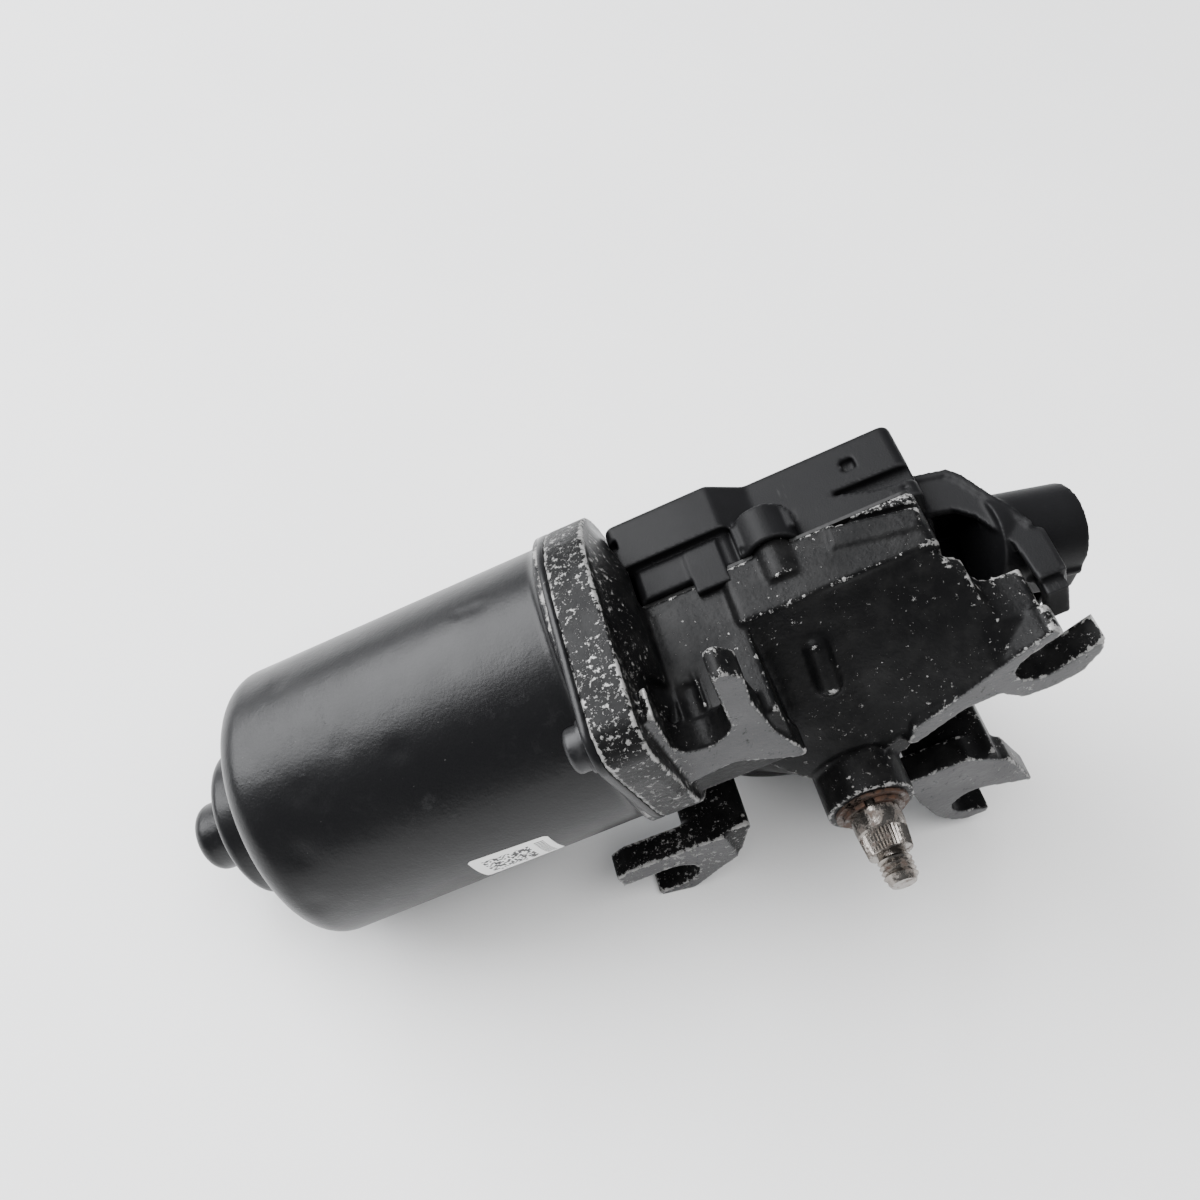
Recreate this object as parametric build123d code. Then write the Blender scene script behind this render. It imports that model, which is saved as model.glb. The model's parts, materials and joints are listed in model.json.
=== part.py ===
from build123d import *
import os
from math import atan, cos, degrees, pi, radians, sin, tan

os.makedirs("parts", exist_ok=True)

# Windshield wiper motor with its worm gearbox, in millimetres.
# Everything is drawn in the motor's own axes: X runs along the armature, towards the gearbox,
# the output shaft points along -Y, and +Z is away from the wheel. The pieces are then written
# in the part's frame, where the motor lies on a bench: origin on the output shaft's axis at the
# shoulder above its thread, the shaft still along -Y, and the gearbox end tilted up.

# ---- driving dimensions ----
REST_TILT = 22.0  # the motor axis rises this much towards the gearbox, in degrees

CAN_R = 33.05
CAN_WALL = 1.6
CAN_LENGTH = 84.6  # mating face to end wall
CAN_SHOULDER = 7.0
BELL_R = 18.3
BELL_LENGTH = 10.8
NOSE_R = 8.4
NOSE_LENGTH = 11.9
MATE_X = 5.6  # plane where the can meets the gear housing
CAN_RIM = 1.8  # thickness of the can's turned-out rim

RIM_R = 35.0
EAR_SCREW_Y = 31.0
EAR_SCREW_Z = 28.0
EAR_SCREW_PAD = 7.5
FLANGE_DEPTH = 9.4

TEETH = 63
MODULE = 1.0
CENTRE_DISTANCE = 36.74
GEAR_WIDTH = 10.0
BACKLASH = 0.16  # taken off each flank of the worm thread
SHAFT_X = 48.6

ARMATURE_R = 4.0
JOURNAL_R = 3.0  # turned-down end beyond the worm
SHAFT_R = 6.0  # output shaft
SHOULDER_Y = -50.6  # where the serrated taper ends and the thread starts
SERRATION_START = -43.8
THREAD_R = 4.0
THREAD_END = -58.0
TAPER_R = 5.25

SEAM_Y = 6.0  # open face of the gear chamber
CHAMBER_R = 34.5
CHAMBER_WALL = 2.6
CHAMBER_FLOOR = -9.0
TUNNEL_R = 7.2
TUNNEL_END = 74.0
BODY_A_TOP = 10.0
BODY_B_TOP = 11.5
BODY_A_X = 37.5
BODY_B_X = 83.5
BOSS_R = 10.45
BOSS_MOUTH = -38.7
FUNNEL_R = 49.0
FUNNEL_TIP_R = 13.0

EAR_FACE = -32.0  # plane that the four feet bolt against
EAR_THICKNESS = 7.0
SLOT_R = 6.4
SLOT_LENGTH = 24.0
SLOT_RELIEF = 0.8  # the pocket behind a slot is this much wider all round
SLOT_POCKET = 9.0

COVER_R = 39.5
COVER_LEFT = 16.5
COVER_RIGHT = 86.0
COVER_TOP_LEFT = 14.0
COVER_TOP_RIGHT = 8.0
COVER_BACK = 28.5
COVER_WALL = 2.0
COVER_SKIRT_Y = 15.5
GASKET = 0.8
COVER_SCREW_R = 2.0

SHROUD_R = 10.5
SHROUD_WALL = 1.5
SHROUD_DEPTH = 16.0

RUN = 0.04  # radial clearance of a shaft in its bush
FIT = 0.02  # radial clearance of a fixed piece in its seat
GAP = 0.3  # gap left between neighbours that don't touch
CUT = 1.0  # a cutting body runs on this far past the face it opens

CAN_SCREW_R = 2.5
CAN_SCREW_HOLE_R = 2.8
CAN_SCREW_HEAD_R = 4.8
CAN_SCREW_HEAD = 3.6
CAN_SCREW_SOCKET_R = 2.1
CAN_SCREW_SOCKET = 1.8
CAN_SCREW_DEPTH = 8.0  # how far a can screw reaches into the casting
WASHER_R = 5.6
WASHER = 1.1

WORM_TURNS = 8
WORM_PHASE = 180.0  # turn that brings a thread space onto a wheel tooth
PRESSURE_ANGLE = 20.0
ROTOR_R = 23.5
ROTOR_SLOTS = 12
ROTOR_SETBACK = 22.0  # from the can's end wall to the core
ROTOR_TO_MATE = 29.0  # from the core to the mating face
WINDING_R = 20.4
WINDING_INNER_R = 9.5
WINDING_OVERHANG = 7.0
COMMUTATOR_R = 12.0
COMMUTATOR_LENGTH = 14.0
COMMUTATOR_RISER = 2.5
BALL_R = 2.0
MAGNET_GAP = 0.8  # air gap between core and magnets
MAGNET_OVERHANG = 4.0

FRONT_BUSH_LENGTH = 8.5
FRONT_BUSH_WALL = 4.0
END_BUSH_LENGTH = 9.5
END_BUSH_WALL = 1.8
BUTTON = 2.4
SHAFT_BUSH_WALL = 1.6
SHAFT_BUSH_LENGTH = 9.0
SEAL = 2.4
RETAINING_WASHER = 0.8
RING_THICK = 1.0
RING_WIDTH = 1.3  # how far the ring stands out of the shaft
RING_GROOVE = 0.6

BRUSH_PLATE = 2.2
BRUSH_TURNS = (0, 120, 240)
HOLDER_HALF = 4.6
HOLDER_TOP = 27.0
HOLDER_WALL = 1.2
BRUSH_TOP = 21.0
BRUSH_SPRING_R = 2.6

WHEEL_HUB_R = 11.0
WHEEL_RIM = 2.6
WHEEL_RECESS = 3.2
WHEEL_RIBS = 8
WHEEL_PHASE = 90.0
PARK_OUTER_R = 24.0
PARK_INNER_R = 16.0
PARK_PLATE = 1.2

BODY_A_BOTTOM = -14.0
LUG_R = 4.8
LUG_TOP = 12.0
SCREW_PILLAR = 12.0  # depth of the pillars that take the cover's screws
LEG_TOP = CHAMBER_FLOOR + 6.0  # where the legs of feet 3 and 4 leave the casting

COVER_BOSS_R = 4.6
COVER_HEAD_R = 3.8
COVER_HEAD = 2.6
COVER_HEAD_SINK = 8.0  # the screws' heads sit this far below the cover's back

SHROUD_Y = -1.8
SHROUD_DROP = 8.0
SHROUD_START = 94.0
SHROUD_END = 114.0
ARM_DEPTH = 14.0
ARM_BAND = 2.2  # thickness of the arm's upper band, with a hollow below it
FRAME_START = 6.0  # box under the socket, measured from the shroud's start
FRAME_END = 16.0
FRAME_DEPTH = 20.0
FRAME_WALL = 1.2
TERMINAL_WIDTH = 2.3
TERMINAL_THICK = 0.8
TERMINAL_LENGTH = 8.0

# ---- sizes worked out from those above ----
WHEEL_PITCH_R = TEETH * MODULE / 2
WHEEL_TIP_R = WHEEL_PITCH_R + MODULE
WHEEL_ROOT_R = WHEEL_PITCH_R - 1.25 * MODULE
WORM_PITCH_R = CENTRE_DISTANCE - WHEEL_PITCH_R
WORM_TIP_R = WORM_PITCH_R + MODULE
WORM_ROOT_R = WORM_PITCH_R - 1.25 * MODULE
WORM_LEAD = pi * MODULE
CAN_BACK = MATE_X - CAN_LENGTH
BELL_END = CAN_BACK - BELL_LENGTH
NOSE_END = BELL_END - NOSE_LENGTH
WHEEL_Z = -CENTRE_DISTANCE
FLANGE_X = MATE_X + FLANGE_DEPTH
MAGNET_R = CAN_R - CAN_WALL
ROTOR_START = CAN_BACK + ROTOR_SETBACK
ROTOR_END = MATE_X - ROTOR_TO_MATE
GASKET_TOP = SEAM_Y + GASKET
NOSE_BUSH_R = NOSE_R - CAN_WALL
FRONT_BUSH_X = MATE_X + 1.4
FRONT_BUSH_END = FRONT_BUSH_X + FRONT_BUSH_LENGTH
FRONT_SEAT_R = ARMATURE_R + FRONT_BUSH_WALL
END_SEAT_R = JOURNAL_R + END_BUSH_WALL
END_BUSH_X = TUNNEL_END - END_BUSH_LENGTH
SHAFT_TIP = TUNNEL_END - BUTTON - 0.6
SHAFT_BUSH_R = SHAFT_R + SHAFT_BUSH_WALL
COMMUTATOR_START = ROTOR_END + WINDING_OVERHANG + 1.0
COMMUTATOR_END = COMMUTATOR_START + COMMUTATOR_LENGTH
BRUSH_PLATE_X = MATE_X - 4.0
HOLDER_X0 = COMMUTATOR_START + COMMUTATOR_RISER + 1.5
WHEEL_LOW = -GEAR_WIDTH / 2
WHEEL_HIGH = GEAR_WIDTH / 2
WASHER_LOW = BOSS_MOUTH - RETAINING_WASHER
CHAMBER_OUTER_R = CHAMBER_R + CHAMBER_WALL
LUG_X = SHAFT_X + 2.2
LUG_Z = BODY_B_TOP - 3.0
COVER_HEAD_SEAT = COVER_BACK - COVER_HEAD_SINK


# ---- helpers ----
def along_x(x, y=0.0, z=0.0):
    """Plane whose normal is +X, with its own x along +Y and its own y along +Z."""
    return Plane(origin=(x, y, z), x_dir=(0, 1, 0), z_dir=(1, 0, 0))


def along_y(y, x=0.0, z=0.0):
    """Plane whose normal is -Y, with its own x along +X and its own y along +Z."""
    return Plane(origin=(x, y, z), x_dir=(1, 0, 0), z_dir=(0, -1, 0))


def along_z(z):
    return Plane(origin=(0, 0, z), x_dir=(1, 0, 0), z_dir=(0, 0, 1))


def rod_x(radius, x0, x1, y=0.0, z=0.0):
    """Round bar along X from x0 to x1."""
    return extrude(along_x(x0, y, z) * Circle(radius), x1 - x0)


def tube_x(outer, inner, x0, x1, y=0.0, z=0.0):
    return rod_x(outer, x0, x1, y, z) - rod_x(inner, x0 - 1, x1 + 1, y, z)


def rod_y(radius, y0, y1, x=SHAFT_X, z=WHEEL_Z):
    """Round bar along Y; y0 is the higher end, y1 the lower."""
    return extrude(along_y(y0, x, z) * Circle(radius), y0 - y1)


def tube_y(outer, inner, y0, y1, x=SHAFT_X, z=WHEEL_Z):
    return rod_y(outer, y0, y1, x, z) - rod_y(inner, y0 + 1, y1 - 1, x, z)


def block(x0, x1, y0, y1, z0, z1):
    """Box between two corners."""
    middle = ((x0 + x1) / 2, (y0 + y1) / 2, (z0 + z1) / 2)
    return Pos(*middle) * Box(x1 - x0, y1 - y0, z1 - z0)


def plate_y(outline, y0, y1):
    """Plate with an outline given in (x, z), from y0 down to y1."""
    return extrude(along_y(y0) * outline, y0 - y1, dir=(0, -1, 0))


def outline_of(points, radius):
    """Closed outline through (x, z) points, taken anticlockwise, with rounded corners."""
    following = points[1:] + points[:1]
    area = sum(a[0] * b[1] - b[0] * a[1] for a, b in zip(points, following))
    ordered = points if area > 0 else points[::-1]
    shape = Polygon(*ordered, align=None)
    return fillet(shape.vertices(), radius)


def bench_height():
    """Height of the bench in the part's frame: the can lies on its rounded shoulder."""
    tilt = radians(REST_TILT)
    along = CAN_BACK + CAN_SHOULDER - SHAFT_X
    below = -(CAN_R - CAN_SHOULDER) - WHEEL_Z
    return along * sin(tilt) + below * cos(tilt) - CAN_SHOULDER


def to_bench(shape):
    """From the motor's axes to the part's frame."""
    return Rotation(0, -REST_TILT, 0) * Pos(-SHAFT_X, -SHOULDER_Y, -WHEEL_Z) * shape


def write(name, *solids):
    """One file for each named piece, or group of like pieces."""
    placed = [to_bench(s) for s in solids]
    pieces = [one for s in placed for one in s.solids()]
    whole = pieces[0] if len(pieces) == 1 else Compound(children=pieces)
    export_step(whole, "parts/" + name + ".step")


# ---- motor can: deep-drawn steel, closed at the nose ----
def can_profile(offset):
    """Half section of the can in (x, radius), inset by the wall."""
    end = MATE_X + (1.0 if offset else 0.0)
    shoulder = CAN_SHOULDER - offset
    radius = CAN_R - offset
    back = CAN_BACK + offset
    bell = BELL_R - offset
    bell_end = BELL_END + offset
    nose = NOSE_R - offset
    nose_end = NOSE_END + offset
    points = [(end, 0), (end, radius), (back, radius), (back, bell), (bell_end, bell)]
    points += [(bell_end, nose), (nose_end, nose), (nose_end, 0)]
    section = Polygon(*points, align=None)

    def corner(x, r):
        return section.vertices().sort_by_distance(Vector(x, r, 0))[0]

    section = fillet(corner(back, radius), shoulder)
    section = fillet(corner(bell_end, bell), 2.5 - offset / 2)
    return fillet(corner(nose_end, nose), 3.2 - offset)


def rim_outline():
    """Round rim drawn out over two screws, in (y, z)."""
    edges = Circle(RIM_R).edges()
    for y, z in can_screw_places():
        edges = edges + (Pos(y, z) * Circle(EAR_SCREW_PAD)).edges()
    return make_hull(edges)


def can_screw_places():
    return [(-EAR_SCREW_Y, EAR_SCREW_Z), (EAR_SCREW_Y, -EAR_SCREW_Z)]


def motor_can():
    outer = revolve(can_profile(0.0), Axis.X)
    inner = revolve(can_profile(CAN_WALL), Axis.X)
    rim = extrude(along_x(MATE_X - CAN_RIM) * rim_outline(), CAN_RIM)
    shell = outer + rim - inner
    for y, z in can_screw_places():
        shell = shell - rod_x(CAN_SCREW_HOLE_R, MATE_X - 4, MATE_X + 1, y, z)
    return shell


def can_screw(y, z):
    """Pan-head screw with a six-lobe socket, driven from the can side."""
    seat = MATE_X - CAN_RIM - WASHER
    head = rod_x(CAN_SCREW_HEAD_R, seat - CAN_SCREW_HEAD, seat, y, z)
    head = fillet(head.edges().filter_by(GeomType.CIRCLE).sort_by(Axis.X)[0], 1.4)
    shank = rod_x(CAN_SCREW_R - FIT, seat, MATE_X + CAN_SCREW_DEPTH, y, z)
    top = seat - CAN_SCREW_HEAD
    socket = rod_x(CAN_SCREW_SOCKET_R, top - CUT, top + CAN_SCREW_SOCKET, y, z)
    return head + shank - socket


def can_screw_washer(y, z):
    seat = MATE_X - CAN_RIM
    return tube_x(WASHER_R, CAN_SCREW_HOLE_R, seat - WASHER, seat, y, z)


# ---- armature: shaft with its rolled worm, core, windings and commutator ----
def worm_thread():
    """One-start right-hand thread, swept along its helix and trimmed at both ends."""
    half_root = MODULE * pi / 4 + 1.25 * MODULE * tan(radians(PRESSURE_ANGLE)) - BACKLASH
    half_tip = MODULE * pi / 4 - MODULE * tan(radians(PRESSURE_ANGLE)) - BACKLASH
    inner = WORM_ROOT_R - 0.3
    height = WORM_TURNS * WORM_LEAD
    path = Helix(WORM_LEAD, height, WORM_PITCH_R)
    start = path @ 0
    section_plane = Plane(origin=start, x_dir=(1, 0, 0), z_dir=path % 0)
    low = inner - WORM_PITCH_R
    high = WORM_TIP_R - WORM_PITCH_R
    section = section_plane * Polygon(
        (low, -half_root), (high, -half_tip), (high, half_tip), (low, half_root), align=None
    )
    thread = sweep(section, path=path, is_frenet=True)
    return thread


def armature_shaft():
    """Shaft along X. The worm sits where its pitch line crosses the wheel's centre plane."""
    worm_length = WORM_TURNS * WORM_LEAD
    start = SHAFT_X - worm_length / 2
    core = rod_x(ARMATURE_R, NOSE_END + CAN_WALL + 2 * BALL_R, start)
    core = core + rod_x(WORM_ROOT_R, start - 1.5, start + worm_length + 1.5)
    core = core + rod_x(JOURNAL_R, start + worm_length, SHAFT_TIP)
    helix = worm_thread()
    placed = Pos(start, 0, 0) * Rot(0, 90, 0) * Rot(0, 0, WORM_PHASE) * helix
    return core + placed


def rotor_core():
    """Stack of laminations with its slots, pressed on the shaft."""
    stack = rod_x(ROTOR_R, ROTOR_START, ROTOR_END)
    for i in range(ROTOR_SLOTS):
        slot = block(ROTOR_START - 1, ROTOR_END + 1, -2.6, 2.6, 11.5, 20.8)
        mouth = block(ROTOR_START - 1, ROTOR_END + 1, -0.9, 0.9, 20.0, ROTOR_R + 1)
        stack = stack - Rot(360 * i / ROTOR_SLOTS, 0, 0) * (slot + mouth)
    return stack - rod_x(ARMATURE_R + FIT, ROTOR_START - 1, ROTOR_END + 1)


def rotor_windings():
    """Varnished copper: a bundle in each slot, joined by the end turns."""
    coils = tube_x(WINDING_R, WINDING_INNER_R, ROTOR_END + GAP, ROTOR_END + WINDING_OVERHANG)
    back = ROTOR_START - WINDING_OVERHANG
    coils = coils + tube_x(WINDING_R, WINDING_INNER_R, back, ROTOR_START - GAP)
    for i in range(ROTOR_SLOTS):
        bundle = block(ROTOR_START - 2, ROTOR_END + 2, -2.3, 2.3, 11.8, 20.0)
        coils = coils + Rot(360 * i / ROTOR_SLOTS, 0, 0) * bundle
    return coils


def commutator():
    """Copper bars round an insulating sleeve, with a riser at the windings' end."""
    body = rod_x(COMMUTATOR_R, COMMUTATOR_START, COMMUTATOR_END)
    riser = COMMUTATOR_START + COMMUTATOR_RISER
    body = body + rod_x(COMMUTATOR_R + 1.8, COMMUTATOR_START, riser)
    for i in range(ROTOR_SLOTS):
        cut = block(riser, COMMUTATOR_END + CUT, -0.3, 0.3, COMMUTATOR_R - 1.4, COMMUTATOR_R + 4)
        body = body - Rot(360 * i / ROTOR_SLOTS, 0, 0) * cut
    return body - rod_x(ARMATURE_R + FIT, COMMUTATOR_START - 1, COMMUTATOR_END + 1)


# ---- what the can holds ----
def field_magnets():
    """Two ferrite arcs bonded to the can."""
    arcs = []
    x0 = ROTOR_START - MAGNET_OVERHANG
    x1 = ROTOR_END + MAGNET_OVERHANG
    for turn in (0, 180):
        ring = tube_x(MAGNET_R - FIT, ROTOR_R + MAGNET_GAP, x0, x1)
        keep = block(x0 - CUT, x1 + CUT, -CAN_R, CAN_R, 10.0, CAN_R)
        arcs.append(Rot(turn, 0, 0) * (ring & keep))
    return arcs


def rear_bearing():
    start = BELL_END - 8.5
    return tube_x(NOSE_BUSH_R - FIT, ARMATURE_R + RUN, start, BELL_END - 0.5)


def thrust_ball():
    return Pos(NOSE_END + CAN_WALL + BALL_R, 0, 0) * Sphere(BALL_R)


# ---- brush gear, carried on a plate behind the gear housing ----
def brush_plate():
    front = BRUSH_PLATE_X + BRUSH_PLATE
    plate = tube_x(MAGNET_R - GAP, COMMUTATOR_R + 2.6, BRUSH_PLATE_X, front)
    rest = tube_x(MAGNET_R - GAP, MAGNET_R - 3.0, front, MATE_X)
    return plate + rest


def brush_holders():
    holders = []
    for turn in BRUSH_TURNS:
        low = COMMUTATOR_R + 2.0
        body = block(HOLDER_X0, BRUSH_PLATE_X, -HOLDER_HALF, HOLDER_HALF, low, HOLDER_TOP)
        body = body - brush_box(low - CUT, HOLDER_TOP - 1.0, 0.0)
        holders.append(Rot(turn, 0, 0) * body)
    return holders


def brush_box(z0, z1, inset):
    """Inside of a brush holder, or the brush in it when inset by its clearance."""
    wall = HOLDER_WALL + inset
    half = HOLDER_HALF - wall
    return block(HOLDER_X0 + wall, BRUSH_PLATE_X - wall, -half, half, z0, z1)


def carbon_brushes():
    made = []
    for turn in BRUSH_TURNS:
        face = rod_x(COMMUTATOR_R + 0.12, HOLDER_X0 - CUT, BRUSH_PLATE_X + CUT)
        made.append(Rot(turn, 0, 0) * (brush_box(10.5, BRUSH_TOP, 0.1) - face))
    return made


def brush_springs():
    """Small coil springs behind the brushes, each as a sleeve of its outer size."""
    made = []
    middle = (HOLDER_X0 + BRUSH_PLATE_X) / 2
    length = HOLDER_TOP - 1.0 - BRUSH_TOP - 2 * FIT
    for turn in BRUSH_TURNS:
        ring = Circle(BRUSH_SPRING_R) - Circle(BRUSH_SPRING_R - 0.7)
        sleeve = extrude(Pos(middle, 0, BRUSH_TOP + FIT) * ring, length)
        made.append(Rot(turn, 0, 0) * sleeve)
    return made


# ---- gear housing: die-cast, with its four slotted feet ----
# outlines of the feet in (x, z)
EAR_1 = [(10.4, 9), (10.6, 18.5), (13.5, 25), (16.5, 31), (19.5, 31), (24, 12), (29.6, 34), (33.5, 36)]
EAR_1 += [(36.8, 31), (35.8, 21), (37, 5), (42, -14), (26, -1.6), (20, -2.5), (12, -4)]
EAR_2 = [(60, -30), (64, -20), (77, -12), (83, -8), (89, -4), (95, -1), (97.5, 1), (101, -8)]
EAR_2 += [(107.8, -12), (107.2, -18), (102.5, -24.5), (96, -26.2), (89, -26), (84, -19.5), (76, -20)]
EAR_3 = [(13.5, -38), (7.8, -37.5), (-11, -36.5), (-15.2, -38.5), (-15.3, -46), (-9.8, -57.5), (-9, -61)]
EAR_3 += [(-1, -62), (8.6, -55.5), (13.5, -52.8)]
EAR_4 = [(52, -48), (58.7, -55), (59.4, -63), (62.5, -77), (66, -83.5), (69.4, -86.4), (75.6, -86.6)]
EAR_4 += [(77, -82.5), (86, -79), (88.4, -75.2), (84, -58), (74, -48)]
LEG_3 = [(4, -54), (4, -38), (21, -38), (15, -52)]
LEG_4 = [(60, -58), (64, -68), (83, -66), (81, -52), (70, -50)]
# slot centre in (x, z), and the way the slot opens, in degrees from +X
SLOTS = {
    "ear_1": (23.2, 16.2, 86.0),
    "ear_2": (94.3, -12.8, 30.0),
    "ear_3": (-3.5, -50.6, 180.0),
    "ear_4": (73.5, -75.2, -30.0),
}


def ear(points):
    return plate_y(outline_of(points, 1.6), EAR_FACE + EAR_THICKNESS, EAR_FACE)


def slot_shape(x, z, turn, radius):
    """U-shaped outline, open at one end."""
    straight = Pos(SLOT_LENGTH / 2, 0) * Rectangle(SLOT_LENGTH, 2 * radius)
    return Pos(x, z) * Rot(0, 0, turn) * (Circle(radius) + straight)


def slot_cut(x, z, turn):
    """Slot through a foot, with a slightly wider pocket in whatever stands behind the foot."""
    back = EAR_FACE + EAR_THICKNESS
    slot = plate_y(slot_shape(x, z, turn, SLOT_R), back + CUT, EAR_FACE - CUT)
    pocket = plate_y(slot_shape(x, z, turn, SLOT_R + SLOT_RELIEF), back + SLOT_POCKET, back)
    return slot + pocket


def body_outline(inset=0.0):
    """Outline of the gearbox in (x, z): the round chamber with the square end above it."""
    x0 = BODY_A_X + inset
    x1 = BODY_B_X - inset
    top = BODY_B_TOP - inset
    radius = CHAMBER_OUTER_R - inset
    square = outline_of([(x0, WHEEL_Z), (x0, top), (x1, top), (x1, WHEEL_Z + 14)], 2.5)
    return square + Pos(SHAFT_X, WHEEL_Z) * Circle(radius)


def cone_y(radius, tip, y0, y1):
    """Cone about the output shaft, from its wide end at y0 down to its tip at y1."""
    wide = along_y(y0, SHAFT_X, WHEEL_Z) * Circle(radius)
    narrow = along_y(y1, SHAFT_X, WHEEL_Z) * Circle(tip)
    return loft([wide, narrow])


def funnel():
    """The casting narrows from the chamber's floor towards the boss, more gently above it."""
    top = CHAMBER_FLOOR + 1.0
    low = EAR_FACE + 3.0
    sector = [(SHAFT_X, WHEEL_Z - 2), (150, WHEEL_Z + 20), (150, 60), (-60, 60), (-60, WHEEL_Z + 75)]
    upper = cone_y(FUNNEL_R, FUNNEL_TIP_R, top, low)
    upper = upper & plate_y(body_outline(), top, low)
    upper = upper & plate_y(Polygon(*sector, align=None), top + CUT, low - CUT)
    return upper + cone_y(CHAMBER_R, FUNNEL_TIP_R, top, EAR_FACE + 9.0)


def web_to_ear_2():
    """Web that carries the funnel's slope on to the second foot, with a hollowed upper edge."""
    inside_funnel = [(-8, 10.6), (-30, -28.2), (-30, -34), (-8, -14)]
    at_foot = [(-8, 11), (-31, -6), (-31, -19), (-18, -10)]
    sections = [along_x(56) * outline_yz(inside_funnel), along_x(84) * outline_yz(at_foot)]
    web = loft(sections, ruled=True)
    web = web + extrude(along_x(84) * outline_yz(at_foot), 16, dir=(1, 0, 0))
    plan = [(55, -30), (55, 12), (79, 12), (80.4, 9.9), (86.4, 5.2), (86.5, 2.2), (88.5, -1)]
    plan += [(92, -1.6), (97, -1.6), (98, -5), (88, -14), (82, -20)]
    return web & plate_y(outline_of(plan, 0.8), 0, EAR_FACE)


def outline_yz(points):
    return Polygon(*points, align=None)


def gear_housing():
    flange = extrude(along_x(MATE_X) * rim_outline(), FLANGE_DEPTH, dir=(1, 0, 0))
    skirt = loft([along_x(FLANGE_X - 0.5) * Circle(RIM_R - 1), along_x(FLANGE_X + 4.5) * Circle(20)])
    body_a = block(FLANGE_X - 1, BODY_A_X + 2, EAR_FACE + 2, SEAM_Y, BODY_A_BOTTOM, BODY_A_TOP)
    body_b = plate_y(body_outline(), SEAM_Y, CHAMBER_FLOOR + 0.5)
    cast = skirt + body_a + body_b + funnel() + web_to_ear_2()
    cast = cast + rod_y(BOSS_R, CHAMBER_FLOOR, BOSS_MOUTH)
    for points in (EAR_1, EAR_2, EAR_3, EAR_4):
        cast = cast + ear(points)
    for points in (LEG_3, LEG_4):
        cast = cast + plate_y(outline_of(points, 1.6), LEG_TOP, EAR_FACE + 1)
    for x, z in cover_screw_places():
        cast = cast + rod_y(COVER_BOSS_R, SEAM_Y, SEAM_Y - SCREW_PILLAR, x, z)
    seat = plate_y(cover_outline(-GAP), COVER_BACK + 10, SEAM_Y)
    cast = cast - seat + flange
    cast = cast + rod_y(LUG_R, LUG_TOP, -2.0, LUG_X, LUG_Z)
    for x, z, turn in SLOTS.values():
        cast = cast - slot_cut(x, z, turn)
    cast = cast - armature_bore() - output_bore()
    for x, z in cover_screw_places():
        cast = cast - rod_y(COVER_SCREW_R, SEAM_Y + CUT, SEAM_Y - 10, x, z)
    for y, z in can_screw_places():
        cast = cast - rod_x(CAN_SCREW_R, MATE_X - CUT, FLANGE_X - 1, y, z)
    bench = to_frame_block(-160, 120, -90, 90, bench_height() - 60, bench_height())
    return cast - bench


def armature_bore():
    """Recess behind the flange, the two bearing seats and the worm's tunnel, along the motor's axis."""
    recess = tube_x(27.0, FRONT_SEAT_R + 3.5, MATE_X - CUT, MATE_X + 5)
    mouth = rod_x(ARMATURE_R + 1, MATE_X - CUT, FRONT_BUSH_X + CUT)
    front_seat = rod_x(FRONT_SEAT_R, FRONT_BUSH_X, FRONT_BUSH_END)
    neck = rod_x(ARMATURE_R + 1, FRONT_BUSH_END - CUT, SHAFT_X)
    tunnel = rod_x(TUNNEL_R, FRONT_BUSH_END + 1, END_BUSH_X - 1)
    end_seat = rod_x(END_SEAT_R, SHAFT_X, TUNNEL_END)
    return recess + mouth + front_seat + neck + tunnel + end_seat


def output_bore():
    """The wheel's chamber and the bore of the boss, about the output shaft."""
    chamber = rod_y(CHAMBER_R, SEAM_Y + CUT, CHAMBER_FLOOR)
    return chamber + rod_y(SHAFT_BUSH_R, CHAMBER_FLOOR + CUT, BOSS_MOUTH - CUT)


def to_frame_block(x0, x1, y0, y1, z0, z1):
    """Box given in the part's frame, turned back into the motor's axes."""
    box = block(x0, x1, y0, y1, z0, z1)
    return Pos(SHAFT_X, SHOULDER_Y, WHEEL_Z) * Rotation(0, REST_TILT, 0) * box


def cover_screw_places():
    """Four screws in (x, z), clear of the wheel's chamber and the worm's tunnel."""
    reach = CHAMBER_OUTER_R + 1.6
    turns = [radians(a) for a in (-158, -22)]
    low = [(SHAFT_X + reach * cos(a), WHEEL_Z + reach * sin(a)) for a in turns]
    top = [(COVER_LEFT + COVER_BOSS_R + GAP, -11.2), (BODY_B_X - 4.7, BODY_B_TOP - 9.0)]
    return top + low


# ---- bearings and seals in the gear housing ----
def front_bearing():
    return tube_x(FRONT_SEAT_R - FIT, ARMATURE_R + RUN, FRONT_BUSH_X, FRONT_BUSH_END)


def end_bearing():
    return tube_x(END_SEAT_R - FIT, JOURNAL_R + RUN, END_BUSH_X, TUNNEL_END - BUTTON - 0.1)


def thrust_button():
    return rod_x(END_SEAT_R - FIT, TUNNEL_END - BUTTON, TUNNEL_END)


def shaft_bushes():
    low_start = BOSS_MOUTH + 3.0 + SHAFT_BUSH_LENGTH
    upper = tube_y(SHAFT_BUSH_R - FIT, SHAFT_R + RUN, CHAMBER_FLOOR, CHAMBER_FLOOR - SHAFT_BUSH_LENGTH)
    lower = tube_y(SHAFT_BUSH_R - FIT, SHAFT_R + RUN, low_start, BOSS_MOUTH + 3.0)
    return upper, lower


def shaft_seal():
    """Rubber ring under the washer in the mouth of the boss."""
    top = BOSS_MOUTH + 3.0 - FIT
    return tube_y(SHAFT_BUSH_R - FIT, SHAFT_R + RUN, top, top - SEAL)


def retaining_washer():
    return tube_y(BOSS_R - 1.6, SHAFT_R + RUN, BOSS_MOUTH, WASHER_LOW)


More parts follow.
